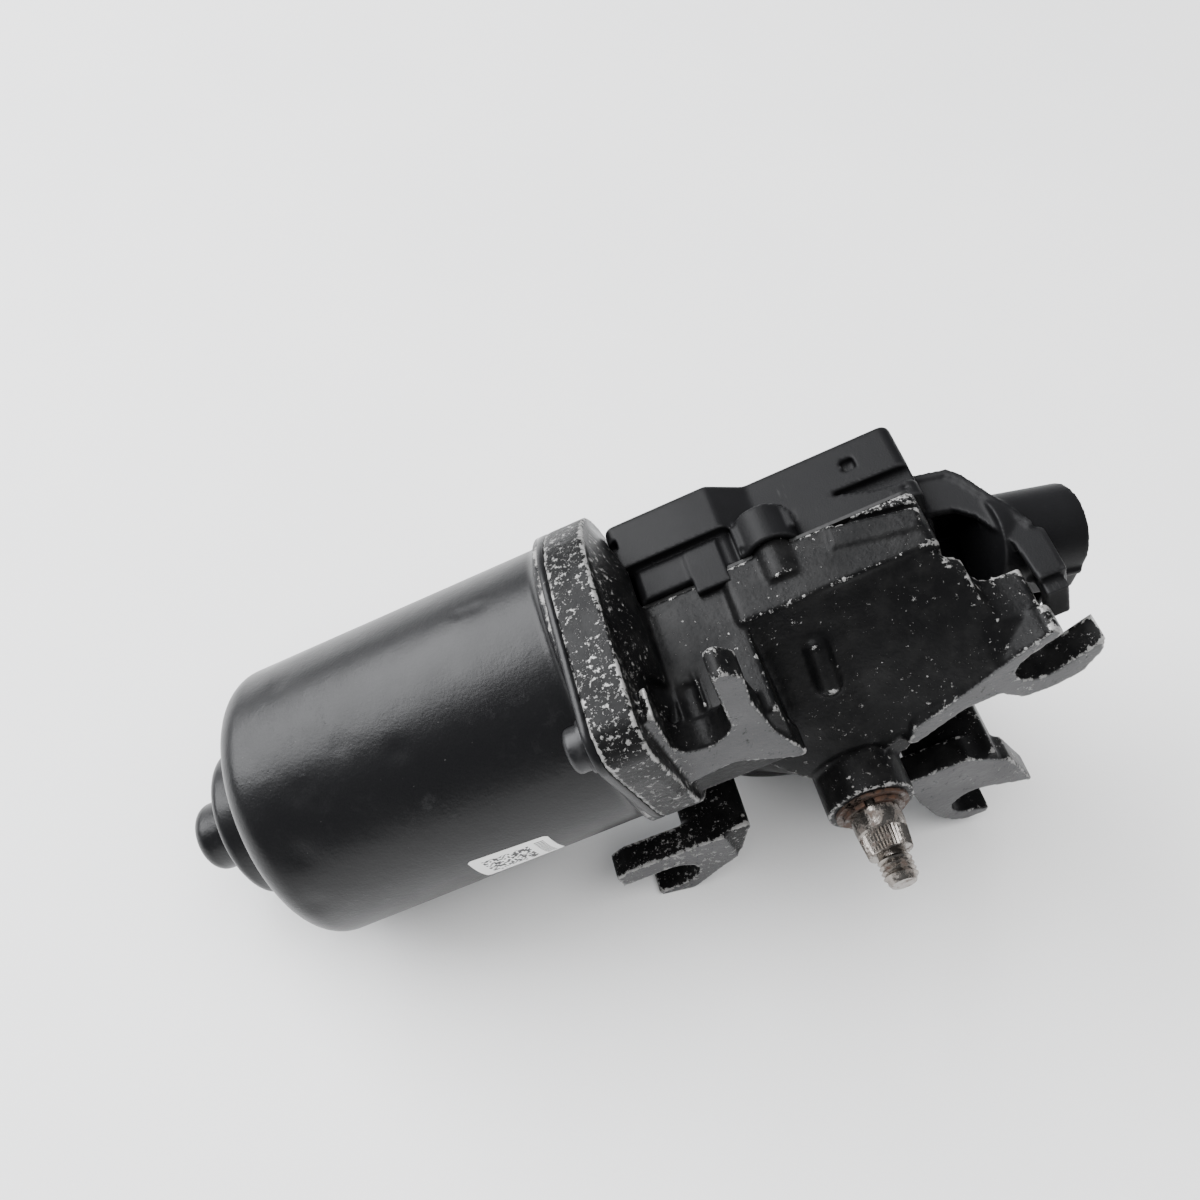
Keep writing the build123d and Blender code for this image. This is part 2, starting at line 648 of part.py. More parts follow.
def retaining_ring():
    """Split ring in the shaft's groove, below the washer."""
    top = WASHER_LOW - 0.1
    low = top - RING_THICK
    ring = tube_y(SHAFT_R + RING_WIDTH, SHAFT_R - RING_GROOVE, top, low)
    return ring - block(SHAFT_X - 1.2, SHAFT_X + 1.2, low - CUT, top + CUT, WHEEL_Z, WHEEL_Z + 20)


# ---- output: moulded wheel on its steel shaft ----
def worm_wheel():
    """Moulded wheel: a rim with slanted teeth, a thin web with ribs, and a hub."""
    pitch_angle = 360 / TEETH
    lead_angle = degrees(atan(WORM_LEAD / (2 * pi * WORM_PITCH_R)))
    twist = degrees(GEAR_WIDTH * tan(radians(lead_angle)) / WHEEL_PITCH_R)
    half_root = degrees(pi * MODULE / 4 / WHEEL_PITCH_R) * 1.42
    half_tip = degrees(pi * MODULE / 4 / WHEEL_PITCH_R) * 0.44
    slices = 2
    rings = []
    for k in range(slices + 1):
        turn = -twist / 2 + twist * k / slices
        points = []
        for i in range(TEETH):
            middle = i * pitch_angle + turn + WHEEL_PHASE
            for r, a in (
                (WHEEL_ROOT_R, -half_root),
                (WHEEL_TIP_R, -half_tip),
                (WHEEL_TIP_R, half_tip),
                (WHEEL_ROOT_R, half_root),
            ):
                t = radians(middle + a)
                points.append((r * cos(t), r * sin(t)))
        rings.append(Polygon(*points, align=None))
    y = [WHEEL_HIGH - GEAR_WIDTH * k / slices for k in range(slices + 1)]
    planes = [along_y(y[k], SHAFT_X, WHEEL_Z) for k in range(slices + 1)]
    wheel = loft([planes[k] * rings[k] for k in range(slices + 1)], ruled=True)
    recess = WHEEL_ROOT_R - WHEEL_RIM
    upper = tube_y(recess, WHEEL_HUB_R, WHEEL_HIGH + CUT, WHEEL_HIGH - WHEEL_RECESS)
    lower = tube_y(recess, WHEEL_HUB_R, WHEEL_LOW + WHEEL_RECESS, WHEEL_LOW - CUT)
    wheel = wheel - upper - lower
    for i in range(WHEEL_RIBS):
        rib = block(WHEEL_HUB_R - 1, recess + 0.5, WHEEL_LOW, WHEEL_LOW + WHEEL_RECESS + 0.8, -0.9, 0.9)
        wheel = wheel + Pos(SHAFT_X, 0, WHEEL_Z) * Rot(0, 360 * i / WHEEL_RIBS, 0) * rib
    return wheel - rod_y(SHAFT_R + FIT, WHEEL_HIGH + 1, WHEEL_LOW - 1)


def park_plate():
    """Stamped copper ring on the wheel's upper face, with the gap that marks the park point."""
    low = WHEEL_HIGH - WHEEL_RECESS
    ring = tube_y(PARK_OUTER_R, PARK_INNER_R, low + PARK_PLATE, low)
    x0 = SHAFT_X + PARK_INNER_R - 2
    notch = block(x0, SHAFT_X + PARK_OUTER_R - 2, low - CUT, WHEEL_HIGH, WHEEL_Z - 5, WHEEL_Z + 5)
    return ring - notch


def output_shaft():
    """Shaft with a knurled taper and a thread for the crank arm's nut."""
    shaft = rod_y(SHAFT_R, WHEEL_HIGH, SERRATION_START)
    taper = loft([
        along_y(SERRATION_START, SHAFT_X, WHEEL_Z) * Circle(SHAFT_R),
        along_y(SHOULDER_Y, SHAFT_X, WHEEL_Z) * Circle(TAPER_R),
    ])
    thread = rod_y(THREAD_R, SHOULDER_Y, THREAD_END)
    thread = chamfer(thread.edges().filter_by(GeomType.CIRCLE).sort_by(Axis.Y)[0], 0.6)
    groove = tube_y(SHAFT_R + 1, SHAFT_R - RING_GROOVE - 0.1, WASHER_LOW, WASHER_LOW - RING_THICK - 0.2)
    return shaft + taper + thread - groove


# ---- cover, with the electrical connector moulded on ----
def cover_outline(inset=0.0):
    """Outline in (x, z): round below for the wheel, square above for the contacts."""
    x0 = COVER_LEFT + inset
    x1 = COVER_RIGHT - inset
    left = COVER_TOP_LEFT - inset
    right = COVER_TOP_RIGHT - inset
    points = [(x0, -22 + inset), (x0, left), (42.5, left), (50.5, right), (x1, right), (x1, -30)]
    whole = outline_of(points, 2.4) + Pos(SHAFT_X, WHEEL_Z) * Circle(COVER_R - inset)
    clear_of_flange = FLANGE_X + 2 * GAP + inset
    return whole & (Pos(clear_of_flange + 100, 0) * Rectangle(200, 300))


def gear_cover():
    skirt_inset = COVER_R - CHAMBER_OUTER_R + 0.4
    shell = plate_y(cover_outline(), COVER_BACK, COVER_SKIRT_Y)
    shell = fillet(shell.faces().sort_by(Axis.Y)[-1].edges(), 1.4)
    shell = shell + plate_y(cover_outline(skirt_inset), COVER_SKIRT_Y + 1, GASKET_TOP)
    right_half = block(44.0, COVER_RIGHT + 10, GASKET_TOP, COVER_SKIRT_Y + 1, -30, 30)
    shell = shell + (plate_y(cover_outline(), COVER_SKIRT_Y + 1, GASKET_TOP) & right_half)
    hollow = plate_y(cover_outline(skirt_inset + COVER_WALL), COVER_BACK - COVER_WALL, GASKET_TOP - 1)
    shell = shell - hollow
    for x, z in cover_screw_places():
        shell = shell + rod_y(COVER_BOSS_R, COVER_BACK - 1.0, GASKET_TOP, x, z)
        shell = shell - rod_y(COVER_HEAD_R + 0.4, COVER_BACK + 1, COVER_HEAD_SEAT, x, z)
        shell = shell - rod_y(COVER_SCREW_R + 0.2, COVER_BACK + 1, GASKET_TOP - 1, x, z)
    shell = shell + rod_y(LUG_R + 2.0, LUG_TOP + 4.0, GASKET_TOP, LUG_X, LUG_Z)
    shell = shell - rod_y(LUG_R + GAP, LUG_TOP + GAP, GASKET_TOP - 1, LUG_X, LUG_Z)
    return shell + connector_shroud()


def cover_screw(x, z):
    head = rod_y(COVER_HEAD_R, COVER_HEAD_SEAT + COVER_HEAD, COVER_HEAD_SEAT, x, z)
    shank = rod_y(COVER_SCREW_R - FIT, COVER_HEAD_SEAT, SEAM_Y - 8, x, z)
    socket = rod_y(1.6, COVER_HEAD_SEAT + COVER_HEAD + 1, COVER_HEAD_SEAT + 1.2, x, z)
    return head + shank - socket


# bent arm that carries the socket, seen from above, in (x, y)
ARM_TOP = [(84, 16.5), (93.8, 14.4), (95.4, 12.2), (98.5, 4.4), (103.3, -6.7), (105.6, -8.4)]
ARM_LOW = [(105.4, -19.6), (99.3, -19.6), (98.6, -9.5), (94.5, 0.9), (91.1, 4.6), (84, 6.8)]
ARM_HOLLOW = [(86.5, 12.6), (92.6, 11.4), (93.8, 9.8), (97, 2), (101, -8), (101, -21), (86.5, -21)]


def connector_shroud():
    """Round-topped socket carried on a bent arm past the cover's end. It lies level on the bench."""
    outer = level_slot(SHROUD_START, SHROUD_END, SHROUD_R)
    inner = level_slot(SHROUD_END - SHROUD_DEPTH, SHROUD_END + CUT, SHROUD_R - SHROUD_WALL)
    arm = plate_z(ARM_TOP + ARM_LOW, 0, -ARM_DEPTH)
    hollow = plate_z(ARM_HOLLOW, -ARM_BAND, -ARM_DEPTH - CUT)
    return outer + (arm - hollow) + latch_frame() - inner


def plate_z(points, z0, z1):
    """Plate with an outline given in (x, y), from z0 down to z1."""
    return extrude(along_z(z0) * Polygon(*points, align=None), z0 - z1, dir=(0, 0, -1))


def latch_frame():
    """Open box below the socket, with the pocket that the plug's latch reaches into."""
    half = SHROUD_R - SHROUD_WALL
    box = block(FRAME_START, FRAME_END, -half, half, -FRAME_DEPTH, 0)
    pocket_start = FRAME_START + (FRAME_END - FRAME_START) / 2
    pocket = block(pocket_start, FRAME_END - FRAME_WALL, -half - CUT, 0, -FRAME_DEPTH + FRAME_WALL, -8.0)
    return at_socket(box - pocket)


def at_socket(shape):
    """From the socket's own level axes to the motor's."""
    return Pos(SHROUD_START, SHROUD_Y, -SHROUD_DROP) * Rotation(0, REST_TILT, 0) * shape


def connector_terminals():
    """Five tinned blades standing on the socket's floor."""
    places = [(-4.4, 2.2), (0.0, 2.2), (4.4, 2.2), (-2.2, -3.2), (2.2, -3.2)]
    floor = SHROUD_END - SHROUD_DEPTH - SHROUD_START
    made = []
    for y, z in places:
        blade = Box(TERMINAL_LENGTH, TERMINAL_WIDTH, TERMINAL_THICK)
        made.append(at_socket(Pos(floor + TERMINAL_LENGTH / 2, y, z) * blade))
    return made


def level_slot(x0, x1, radius):
    """Bar along the part's own X, rounded above and square below, at the connector's place."""
    section = Circle(radius) + Pos(0, -radius * 0.4) * Rectangle(2 * radius, radius * 0.8)
    return at_socket(extrude(along_x(x0 - SHROUD_START) * section, x1 - x0))


def cover_gasket():
    """Flat rubber ring between the casting's rim and the cover."""
    neck = Pos((COVER_LEFT + SHAFT_X) / 2, (BODY_A_BOTTOM + BODY_A_TOP) / 2)
    neck = neck * Rectangle(SHAFT_X - COVER_LEFT - 1, BODY_A_TOP - BODY_A_BOTTOM - 1)
    trough = Pos(SHAFT_X - 6, 0) * Rectangle(50, 2 * TUNNEL_R - 4)
    beyond_flange = Pos(FLANGE_X + 2 * GAP + 100, 0) * Rectangle(200, 300)
    shape = (body_outline(0.3) + neck) & beyond_flange
    shape = shape - Pos(SHAFT_X, WHEEL_Z) * Circle(CHAMBER_R) - trough
    ring = plate_y(shape, GASKET_TOP, SEAM_Y)
    ring = ring - rod_y(LUG_R + GAP, GASKET_TOP + 1, SEAM_Y - 1, LUG_X, LUG_Z)
    for x, z in cover_screw_places():
        ring = ring - rod_y(COVER_SCREW_R + 0.2, GASKET_TOP + 1, SEAM_Y - 1, x, z)
    return ring


NODES = {
    "motor_can": [motor_can()],
    "can_screws": [can_screw(y, z) for y, z in can_screw_places()],
    "can_screw_washers": [can_screw_washer(y, z) for y, z in can_screw_places()],
    "field_magnets": field_magnets(),
    "rear_bearing": [rear_bearing()],
    "thrust_ball": [thrust_ball()],
    "brush_plate": [brush_plate()],
    "brush_holders": brush_holders(),
    "carbon_brushes": carbon_brushes(),
    "brush_springs": brush_springs(),
    "armature_shaft": [armature_shaft()],
    "rotor_core": [rotor_core()],
    "rotor_windings": [rotor_windings()],
    "commutator": [commutator()],
    "front_bearing": [front_bearing()],
    "end_bearing": [end_bearing()],
    "thrust_button": [thrust_button()],
    "gear_housing": [gear_housing()],
    "shaft_bushes": shaft_bushes(),
    "shaft_seal": [shaft_seal()],
    "retaining_washer": [retaining_washer()],
    "retaining_ring": [retaining_ring()],
    "worm_wheel": [worm_wheel()],
    "park_plate": [park_plate()],
    "output_shaft": [output_shaft()],
    "gear_cover": [gear_cover()],
    "cover_gasket": [cover_gasket()],
    "connector_terminals": connector_terminals(),
    "cover_screws": [cover_screw(x, z) for x, z in cover_screw_places()],
}
for name, solids in NODES.items():
    write(name, *solids)
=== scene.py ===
import json
from math import cos, pi, radians, sin

import bmesh
import bpy
import numpy as np
from mathutils import Matrix, Vector
from mathutils.geometry import convex_hull_2d


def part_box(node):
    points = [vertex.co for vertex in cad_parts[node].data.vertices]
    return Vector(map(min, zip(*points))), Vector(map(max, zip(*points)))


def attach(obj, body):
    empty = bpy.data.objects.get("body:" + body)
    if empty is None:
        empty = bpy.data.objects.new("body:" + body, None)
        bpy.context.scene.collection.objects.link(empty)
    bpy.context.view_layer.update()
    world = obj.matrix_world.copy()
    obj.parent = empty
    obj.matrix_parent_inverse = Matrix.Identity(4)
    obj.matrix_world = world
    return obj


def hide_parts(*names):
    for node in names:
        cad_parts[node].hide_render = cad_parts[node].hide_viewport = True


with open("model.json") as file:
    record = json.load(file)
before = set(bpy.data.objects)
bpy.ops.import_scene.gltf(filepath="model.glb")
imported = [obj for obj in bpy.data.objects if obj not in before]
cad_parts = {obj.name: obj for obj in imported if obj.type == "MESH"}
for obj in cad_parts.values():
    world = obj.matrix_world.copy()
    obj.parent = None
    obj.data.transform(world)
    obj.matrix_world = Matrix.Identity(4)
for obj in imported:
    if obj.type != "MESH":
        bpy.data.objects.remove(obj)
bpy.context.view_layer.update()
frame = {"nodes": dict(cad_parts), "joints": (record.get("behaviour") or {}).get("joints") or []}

# ---- Bench, light and camera ----
# The motor lies on a plain pale bench, on the can's rounded shoulder and one foot. A wide soft
# light stands behind it to the left, as from a window, and the rest comes from a pale room.
BENCH_SIZE = 3.0
bench_height = min(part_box(n)[0].z for n in ("motor_can", "gear_housing"))


def new_finish(name, colour, roughness, metallic=0.0):
    """A material with one shader, and the uniform values set on its own sockets."""
    finish = bpy.data.materials.new(name)
    finish.use_nodes = True
    shader = finish.node_tree.nodes["Principled BSDF"]
    shader.inputs["Base Color"].default_value = (*colour, 1.0)
    shader.inputs["Roughness"].default_value = roughness
    shader.inputs["Metallic"].default_value = metallic
    return finish


def add_node(finish, kind, **inputs):
    """One node of a finish's tree, with its inputs set or joined by their names."""
    tree = finish.node_tree
    node = tree.nodes.new(kind)
    for name, value in inputs.items():
        join(finish, value, node.inputs[name.replace("_", " ")])
    return node


def join(finish, value, socket):
    if isinstance(value, bpy.types.NodeSocket):
        finish.node_tree.links.new(value, socket)
    else:
        socket.default_value = value


def grain(finish, scale, detail=4.0, rough=0.55, stretch=(1, 1, 1)):
    """Noise on the piece's own coordinates, with this many features to the metre."""
    place = add_node(finish, "ShaderNodeTexCoord").outputs["Object"]
    mapping = add_node(finish, "ShaderNodeMapping", Vector=place, Scale=stretch)
    noise = add_node(finish, "ShaderNodeTexNoise", Vector=mapping.outputs[0], Scale=scale,
                     Detail=detail, Roughness=rough)
    return noise.outputs["Fac"]


def spread(finish, value, low, high, out_low=0.0, out_high=1.0):
    """Maps a value from one range to another, held at its ends."""
    node = add_node(finish, "ShaderNodeMapRange", Value=value)
    for name, number in (("From Min", low), ("From Max", high), ("To Min", out_low), ("To Max", out_high)):
        node.inputs[name].default_value = number
    return node.outputs[0]


def combine(finish, operation, a, b):
    node = add_node(finish, "ShaderNodeMath")
    node.operation = operation
    join(finish, a, node.inputs[0])
    join(finish, b, node.inputs[1])
    return node.outputs[0]


def blend_colours(finish, share, a, b):
    node = add_node(finish, "ShaderNodeMix")
    node.data_type = "RGBA"
    join(finish, share, node.inputs["Factor"])
    for value, socket in ((a, node.inputs[6]), (b, node.inputs[7])):
        join(finish, (*value, 1.0) if isinstance(value, tuple) else value, socket)
    return node.outputs[2]


def shader_input(finish, name, value):
    join(finish, value, finish.node_tree.nodes["Principled BSDF"].inputs[name])


def relief(finish, height, depth):
    """Bump of this depth, in metres, on the finish's shader."""
    node = add_node(finish, "ShaderNodeBump", Height=height, Distance=depth, Strength=1.0)
    shader_input(finish, "Normal", node.outputs[0])


white_bench = new_finish("white_bench", (0.86, 0.86, 0.855), 0.6)
bench_patches = spread(white_bench, grain(white_bench, 6.0), 0.3, 0.7)
shader_input(white_bench, "Base Color", blend_colours(
    white_bench, bench_patches, (0.87, 0.87, 0.87), (0.82, 0.825, 0.83)))
relief(white_bench, grain(white_bench, 900.0), 0.00004)
half = BENCH_SIZE / 2
corners = ((-half, -half), (half, -half), (half, half), (-half, half))
bench_mesh = bpy.data.meshes.new("bench")
bench_mesh.from_pydata([(x, y, bench_height) for x, y in corners], [], [(0, 1, 2, 3)])
bench_mesh.materials.append(white_bench)
bench = bpy.data.objects.new("bench", bench_mesh)
bpy.context.scene.collection.objects.link(bench)

room = bpy.data.worlds.new("pale_room")
room.use_nodes = True
room.node_tree.nodes["Background"].inputs["Color"].default_value = (0.93, 0.96, 1.0, 1.0)
room.node_tree.nodes["Background"].inputs["Strength"].default_value = 0.32
bpy.context.scene.world = room


def soft_light(name, place, aim, size, power, colour, mirrored=True):
    lamp = bpy.data.lights.new(name, "AREA")
    lamp.shape = "RECTANGLE"
    lamp.size, lamp.size_y = size
    lamp.energy = power
    lamp.color = colour
    holder = bpy.data.objects.new(name, lamp)
    holder.location = place
    holder.visible_glossy = mirrored
    holder.rotation_mode = "QUATERNION"
    holder.rotation_quaternion = (Vector(aim) - Vector(place)).to_track_quat("-Z", "Y")
    bpy.context.scene.collection.objects.link(holder)


soft_light("window", (-1.35, 1.0, 1.35), (-0.03, 0.03, 0), (2.2, 1.6), 128.0, (0.97, 0.98, 1.0))
soft_light("ceiling", (0.1, -0.2, 2.2), (0, 0, 0), (3.0, 3.0), 112.0, (1.0, 0.99, 0.98), mirrored=False)

EYE = Vector((-0.0961, -0.0901, 0.2467))
EYE_RIGHT = Vector((0.9699, -0.2425, 0.0220))
EYE_UP = Vector((0.1831, 0.7858, 0.5907))
LENS = 35.25
lens = bpy.data.cameras.new("eye")
lens.lens = LENS
lens.sensor_width = 36.0
lens.clip_start = 0.01
eye = bpy.data.objects.new("eye", lens)
facing = Matrix((EYE_RIGHT, EYE_UP, EYE_RIGHT.cross(EYE_UP))).transposed()
eye.rotation_mode = "QUATERNION"
eye.rotation_quaternion = facing.to_quaternion()
eye.location = EYE
bpy.context.scene.collection.objects.link(eye)
bpy.context.scene.camera = eye

# ---- Motor can ----
# A deep-drawn steel can, stepped down to the rear bearing's bell and nose, with its open end
# turned out into a rim. It is sprayed satin black, and is knocked and scratched from use.
MM = 0.001
SHAFT_X = 48.6  # where the output shaft crosses the motor's axis, from the can's own zero
motor_joint = next(j for j in frame["joints"] if j["name"] == "armature_spin")
motor_axis = Vector(motor_joint["axis"]).normalized()
motor_turn = np.array(Matrix((motor_axis, Vector((0, 1, 0)), motor_axis.cross((0, 1, 0)))).transposed())
motor_place = np.array(motor_joint["pos_m"])


def from_motor(points):
    """Points in millimetres along the motor's own axes, as points of the frame."""
    local = (np.asarray(points, float) - (SHAFT_X, 0, 0)) * MM
    return local @ motor_turn.T + motor_place


def make_mesh(name, points, faces, smooth=True):
    mesh = bpy.data.meshes.new(name)
    mesh.from_pydata([tuple(p) for p in from_motor(points)], [], faces)
    tidy = bmesh.new()
    tidy.from_mesh(mesh)
    bmesh.ops.remove_doubles(tidy, verts=tidy.verts, dist=1e-7)
    bmesh.ops.recalc_face_normals(tidy, faces=tidy.faces)
    for face in tidy.faces:
        face.smooth = smooth
    tidy.to_mesh(mesh)
    tidy.free()
    return mesh


def show(name, mesh, finish, body, slot_name, *stands_for):
    """Puts a finished mesh in the scene on its body."""
    mesh.materials.clear()
    mesh.materials.append(finish)
    shown = bpy.data.objects.new(name, mesh)
    bpy.context.scene.collection.objects.link(shown)
    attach(shown, body)
    if stands_for:
        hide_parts(*stands_for)
    return shown


def arc(x, r, radius, start, end, steps=8):
    """Points (x, radius) on a corner's arc, from one angle to another."""
    turns = [radians(start + (end - start) * i / steps) for i in range(steps + 1)]
    return [(x + radius * cos(t), r + radius * sin(t)) for t in turns]


def turned(profile, steps=96):
    """A shape turned about the motor's axis from points (x, radius)."""
    points = []
    faces = []
    for x, r in profile:
        points += [(x, r * cos(2 * pi * i / steps), r * sin(2 * pi * i / steps)) for i in range(steps)]
    for k in range(len(profile) - 1):
        for i in range(steps):
            j = (i + 1) % steps
            faces.append((k * steps + i, k * steps + j, (k + 1) * steps + j, (k + 1) * steps + i))
    return np.array(points), faces


def straight(a, b, pieces):
    return [(a[0] + (b[0] - a[0]) * i / pieces, a[1] + (b[1] - a[1]) * i / pieces) for i in range(pieces + 1)]


CAN_R = 33.05
CAN_WALL = 1.6
CAN_BACK = -79.0
BELL_R, BELL_END = 18.3, -89.8
NOSE_R, NOSE_END = 8.4, -101.7
MATE_X = 5.6
RIM_THICK = 1.8
RIM_R = 35.0
SCREW_PLACES = [(-31.0, 28.0), (31.0, -28.0)]
SCREW_PAD_R = 7.5


def can_skin(wall):
    """Half section from the nose's pole to the open end, inset by the wall."""
    nose, bell, side = NOSE_R - wall, BELL_R - wall, CAN_R - wall
    nose_end, bell_end, back = NOSE_END + wall, BELL_END + wall, CAN_BACK + wall
    skin = [(nose_end, 0.0), (nose_end, nose * 0.3)]
    skin += arc(nose_end + 3.2 - wall, nose - 3.2 + wall, 3.2 - wall, 180, 90)
    skin += arc(bell_end - 0.6, nose + 0.6, 0.6, 270, 360, 3)
    skin += arc(bell_end + 2.5, bell - 2.5, 2.5, 180, 90)
    skin += arc(back - 1.5, bell + 1.5, 1.5, 270, 360, 5)
    skin += arc(back + 7 - wall, side - 7 + wall, 7 - wall, 180, 90, 12)
    skin += straight((back + 8, side), (MATE_X - 5.5, side), 90)
    return skin


outer = can_skin(0.0) + arc(MATE_X - 5.0, CAN_R + 2.6, 2.6, 270, 345, 6) + [(MATE_X - 1.0, CAN_R + 1.9)]
section = outer + [(MATE_X - 1.0, CAN_R - CAN_WALL)] + can_skin(CAN_WALL)[::-1]
CAN_STEPS = 288
can_points, can_faces = turned(section, CAN_STEPS)

# dents in the skin: place along the axis, turn about it, reach and depth
DENTS = [(-59.0, 119, 3.2, 0.35), (-56.5, 125, 2.0, 0.3), (-36.4, 118.5, 2.2, 0.25),
         (-66, 140, 3.5, 0.3), (-70, 163, 3.0, 0.25), (-48, 108, 2.5, 0.12),
         (-20, 97, 3.0, 0.12), (-62, 70, 3.0, 0.2), (-12, 75, 2.0, 0.2),
         (-16, 74, 1.6, 0.2), (-30, 200, 4.0, 0.3), (-52, 250, 5.0, 0.3), (-8, 300, 4.0, 0.25)]
outer_count = len(outer) * CAN_STEPS
radial = can_points[:outer_count].copy()
radial[:, 0] = 0
radial /= np.maximum(np.linalg.norm(radial, axis=1), 1e-9)[:, None]
for x, turn, reach, depth in DENTS:
    centre = np.array((x, CAN_R * cos(radians(turn)), CAN_R * sin(radians(turn))))
    away = np.linalg.norm(can_points[:outer_count] - centre, axis=1)
    can_points[:outer_count] -= radial * (depth * np.exp(-(away / reach) ** 2))[:, None]


def rim_points(grow=0.0):
    """The rim's outline in (y, z): round, and drawn out over the two screws."""
    circles = [(0.0, 0.0, RIM_R)] + [(y, z, SCREW_PAD_R) for y, z in SCREW_PLACES]
    samples = [(y + (r + grow) * cos(2 * pi * i / 240), z + (r + grow) * sin(2 * pi * i / 240))
               for y, z, r in circles for i in range(240)]
    return [samples[i] for i in convex_hull_2d(samples)]


def plate(outline, levels):
    """A plate across the motor's axis: outline rings, each moved in by its inset, then closed."""
    points, faces = [], []
    count = len(outline)
    ring = np.array(outline)
    before, after = np.roll(ring, 1, axis=0), np.roll(ring, -1, axis=0)
    edge = after - before
    inward = np.stack([-edge[:, 1], edge[:, 0]], axis=1)
    inward /= np.linalg.norm(inward, axis=1)[:, None]
    for x, inset in levels:
        moved = ring + inward * inset
        points += [(x, y, z) for y, z in moved]
    for k in range(len(levels) - 1):
        for i in range(count):
            j = (i + 1) % count
            faces.append((k * count + i, k * count + j, (k + 1) * count + j, (k + 1) * count + i))
    faces.append(tuple(range(count)))
    faces.append(tuple(range(len(levels) * count - count, len(levels) * count)))
    return np.array(points), faces


ROUND = 0.35
rim_back = MATE_X - RIM_THICK
rim_levels = [(rim_back, ROUND), (rim_back + ROUND, 0), (MATE_X - ROUND, 0), (MATE_X, ROUND)]
rim_mesh_points, rim_faces = plate(rim_points(), rim_levels)
offset = len(can_points)
can_mesh = make_mesh("motor_can", np.vstack([can_points, rim_mesh_points]),
                     can_faces + [tuple(v + offset for v in f) for f in rim_faces])


def edge_sharpness_for_wear_and_highlight(mesh, name="edge_wear_and_highlight", passes=3):
    """Stores how sharply each point stands out, which is where paint is lost first and where the cover's
    edges get a painted highlight.
    """
    count = len(mesh.vertices)
    place = np.zeros(count * 3)
    normal = np.zeros(count * 3)
    mesh.vertices.foreach_get("co", place)
    mesh.vertices.foreach_get("normal", normal)
    place, normal = place.reshape(-1, 3), normal.reshape(-1, 3)
    ends = np.zeros(len(mesh.edges) * 2, dtype=int)
    mesh.edges.foreach_get("vertices", ends)
    a, b = ends.reshape(-1, 2).T
    step = place[a] - place[b]
    step /= np.maximum(np.linalg.norm(step, axis=1), 1e-12)[:, None]
    stands = np.zeros(count)
    np.add.at(stands, a, (normal[a] * step).sum(1))
    np.add.at(stands, b, -(normal[b] * step).sum(1))
    near = np.zeros(count)
    np.add.at(near, a, 1)
    np.add.at(near, b, 1)
    stands /= np.maximum(near, 1)
    for _ in range(passes):
        total = stands * 2
        np.add.at(total, a, stands[b])
        np.add.at(total, b, stands[a])
        stands = total / (near + 2)
    layer = mesh.attributes.new(name, "FLOAT", "POINT")
    layer.data.foreach_set("value", stands.astype(np.float32))
    return place, normal


edge_sharpness_for_wear_and_highlight(can_mesh, passes=1)
can_paint = new_finish("satin_black_can", (0.004, 0.004, 0.0045), 0.36)
can_wear = add_node(can_paint, "ShaderNodeAttribute")
can_wear.attribute_name = "edge_wear_and_highlight"
fine_scuffs = spread(can_paint, grain(can_paint, 260.0, 8.0, 0.7), 0.55, 0.7)
scuffed_places = spread(can_paint, grain(can_paint, 38.0, 3.0), 0.5, 0.62)
scuffs = combine(can_paint, "MULTIPLY", fine_scuffs, scuffed_places)
sharp_edges = spread(can_paint, can_wear.outputs["Fac"], 0.05, 0.35)
rub_grain = spread(can_paint, grain(can_paint, 420.0, 8.0, 0.72), 0.3, 0.75)
rubbed = spread(can_paint, combine(can_paint, "ADD", sharp_edges, rub_grain), 1.18, 1.32)
specks = spread(can_paint, grain(can_paint, 1300.0, 3.0, 0.8), 0.735, 0.76)
bare = combine(can_paint, "MAXIMUM", rubbed, combine(can_paint, "MULTIPLY", specks, 0.7))
dust = combine(can_paint, "MULTIPLY", scuffs, 0.5)
dusty = blend_colours(can_paint, dust, (0.004, 0.004, 0.0045), (0.018, 0.018, 0.019))
shader_input(can_paint, "Base Color", blend_colours(can_paint, bare, dusty, (0.22, 0.215, 0.21)))
shader_input(can_paint, "Roughness", spread(can_paint, grain(can_paint, 55.0, 5.0), 0.3, 0.75, 0.28, 0.4))
shader_input(can_paint, "Specular IOR Level", 0.27)
fine_peel = combine(can_paint, "MULTIPLY", grain(can_paint, 1500.0, 2.0), 0.55)
broad_peel = combine(can_paint, "MULTIPLY", grain(can_paint, 260.0, 5.0), 1.2)
peel = combine(can_paint, "ADD", fine_peel, broad_peel)
worn_in = combine(can_paint, "MULTIPLY", scuffs, 0.6)
relief(can_paint, combine(can_paint, "SUBTRACT", peel, worn_in), 0.00007)
show("can", can_mesh, can_paint, "housing", "black_steel", "motor_can")

# ---- Data sticker on the can ----
# A small self-adhesive paper label wrapped round the side of the can. It carries only a plain
# scatter of squares and a few bars in black print.
STICKER_START, STICKER_END = -36.2, -17.6
STICKER_TURNS = (175.5, 197.0)
STICKER_SKEW = 3.0  # it was put on slightly crooked, in degrees of turn over its length
STICKER_LIFT = 0.12
across, down = 40, 24
sticker_points, sticker_faces, sticker_uv = [], [], []
for lift in (STICKER_LIFT, 0.02):
    for i in range(across + 1):
        for j in range(down + 1):
            u, v = i / across, j / down
            corner = 0.10 * max(0.0, (abs(u - 0.5) * 2 - 0.88) / 0.12) ** 2
            v_round = 0.5 + (v - 0.5) * (1 - corner)
            turn = STICKER_TURNS[0] + (STICKER_TURNS[1] - STICKER_TURNS[0]) * v_round
            turn += STICKER_SKEW * (u - 0.5)
            r = CAN_R + lift
            x = STICKER_START + (STICKER_END - STICKER_START) * u
            sticker_points.append((x, r * cos(radians(turn)), r * sin(radians(turn))))
            sticker_uv.append((u, v))
row = down + 1
layer_size = (across + 1) * row
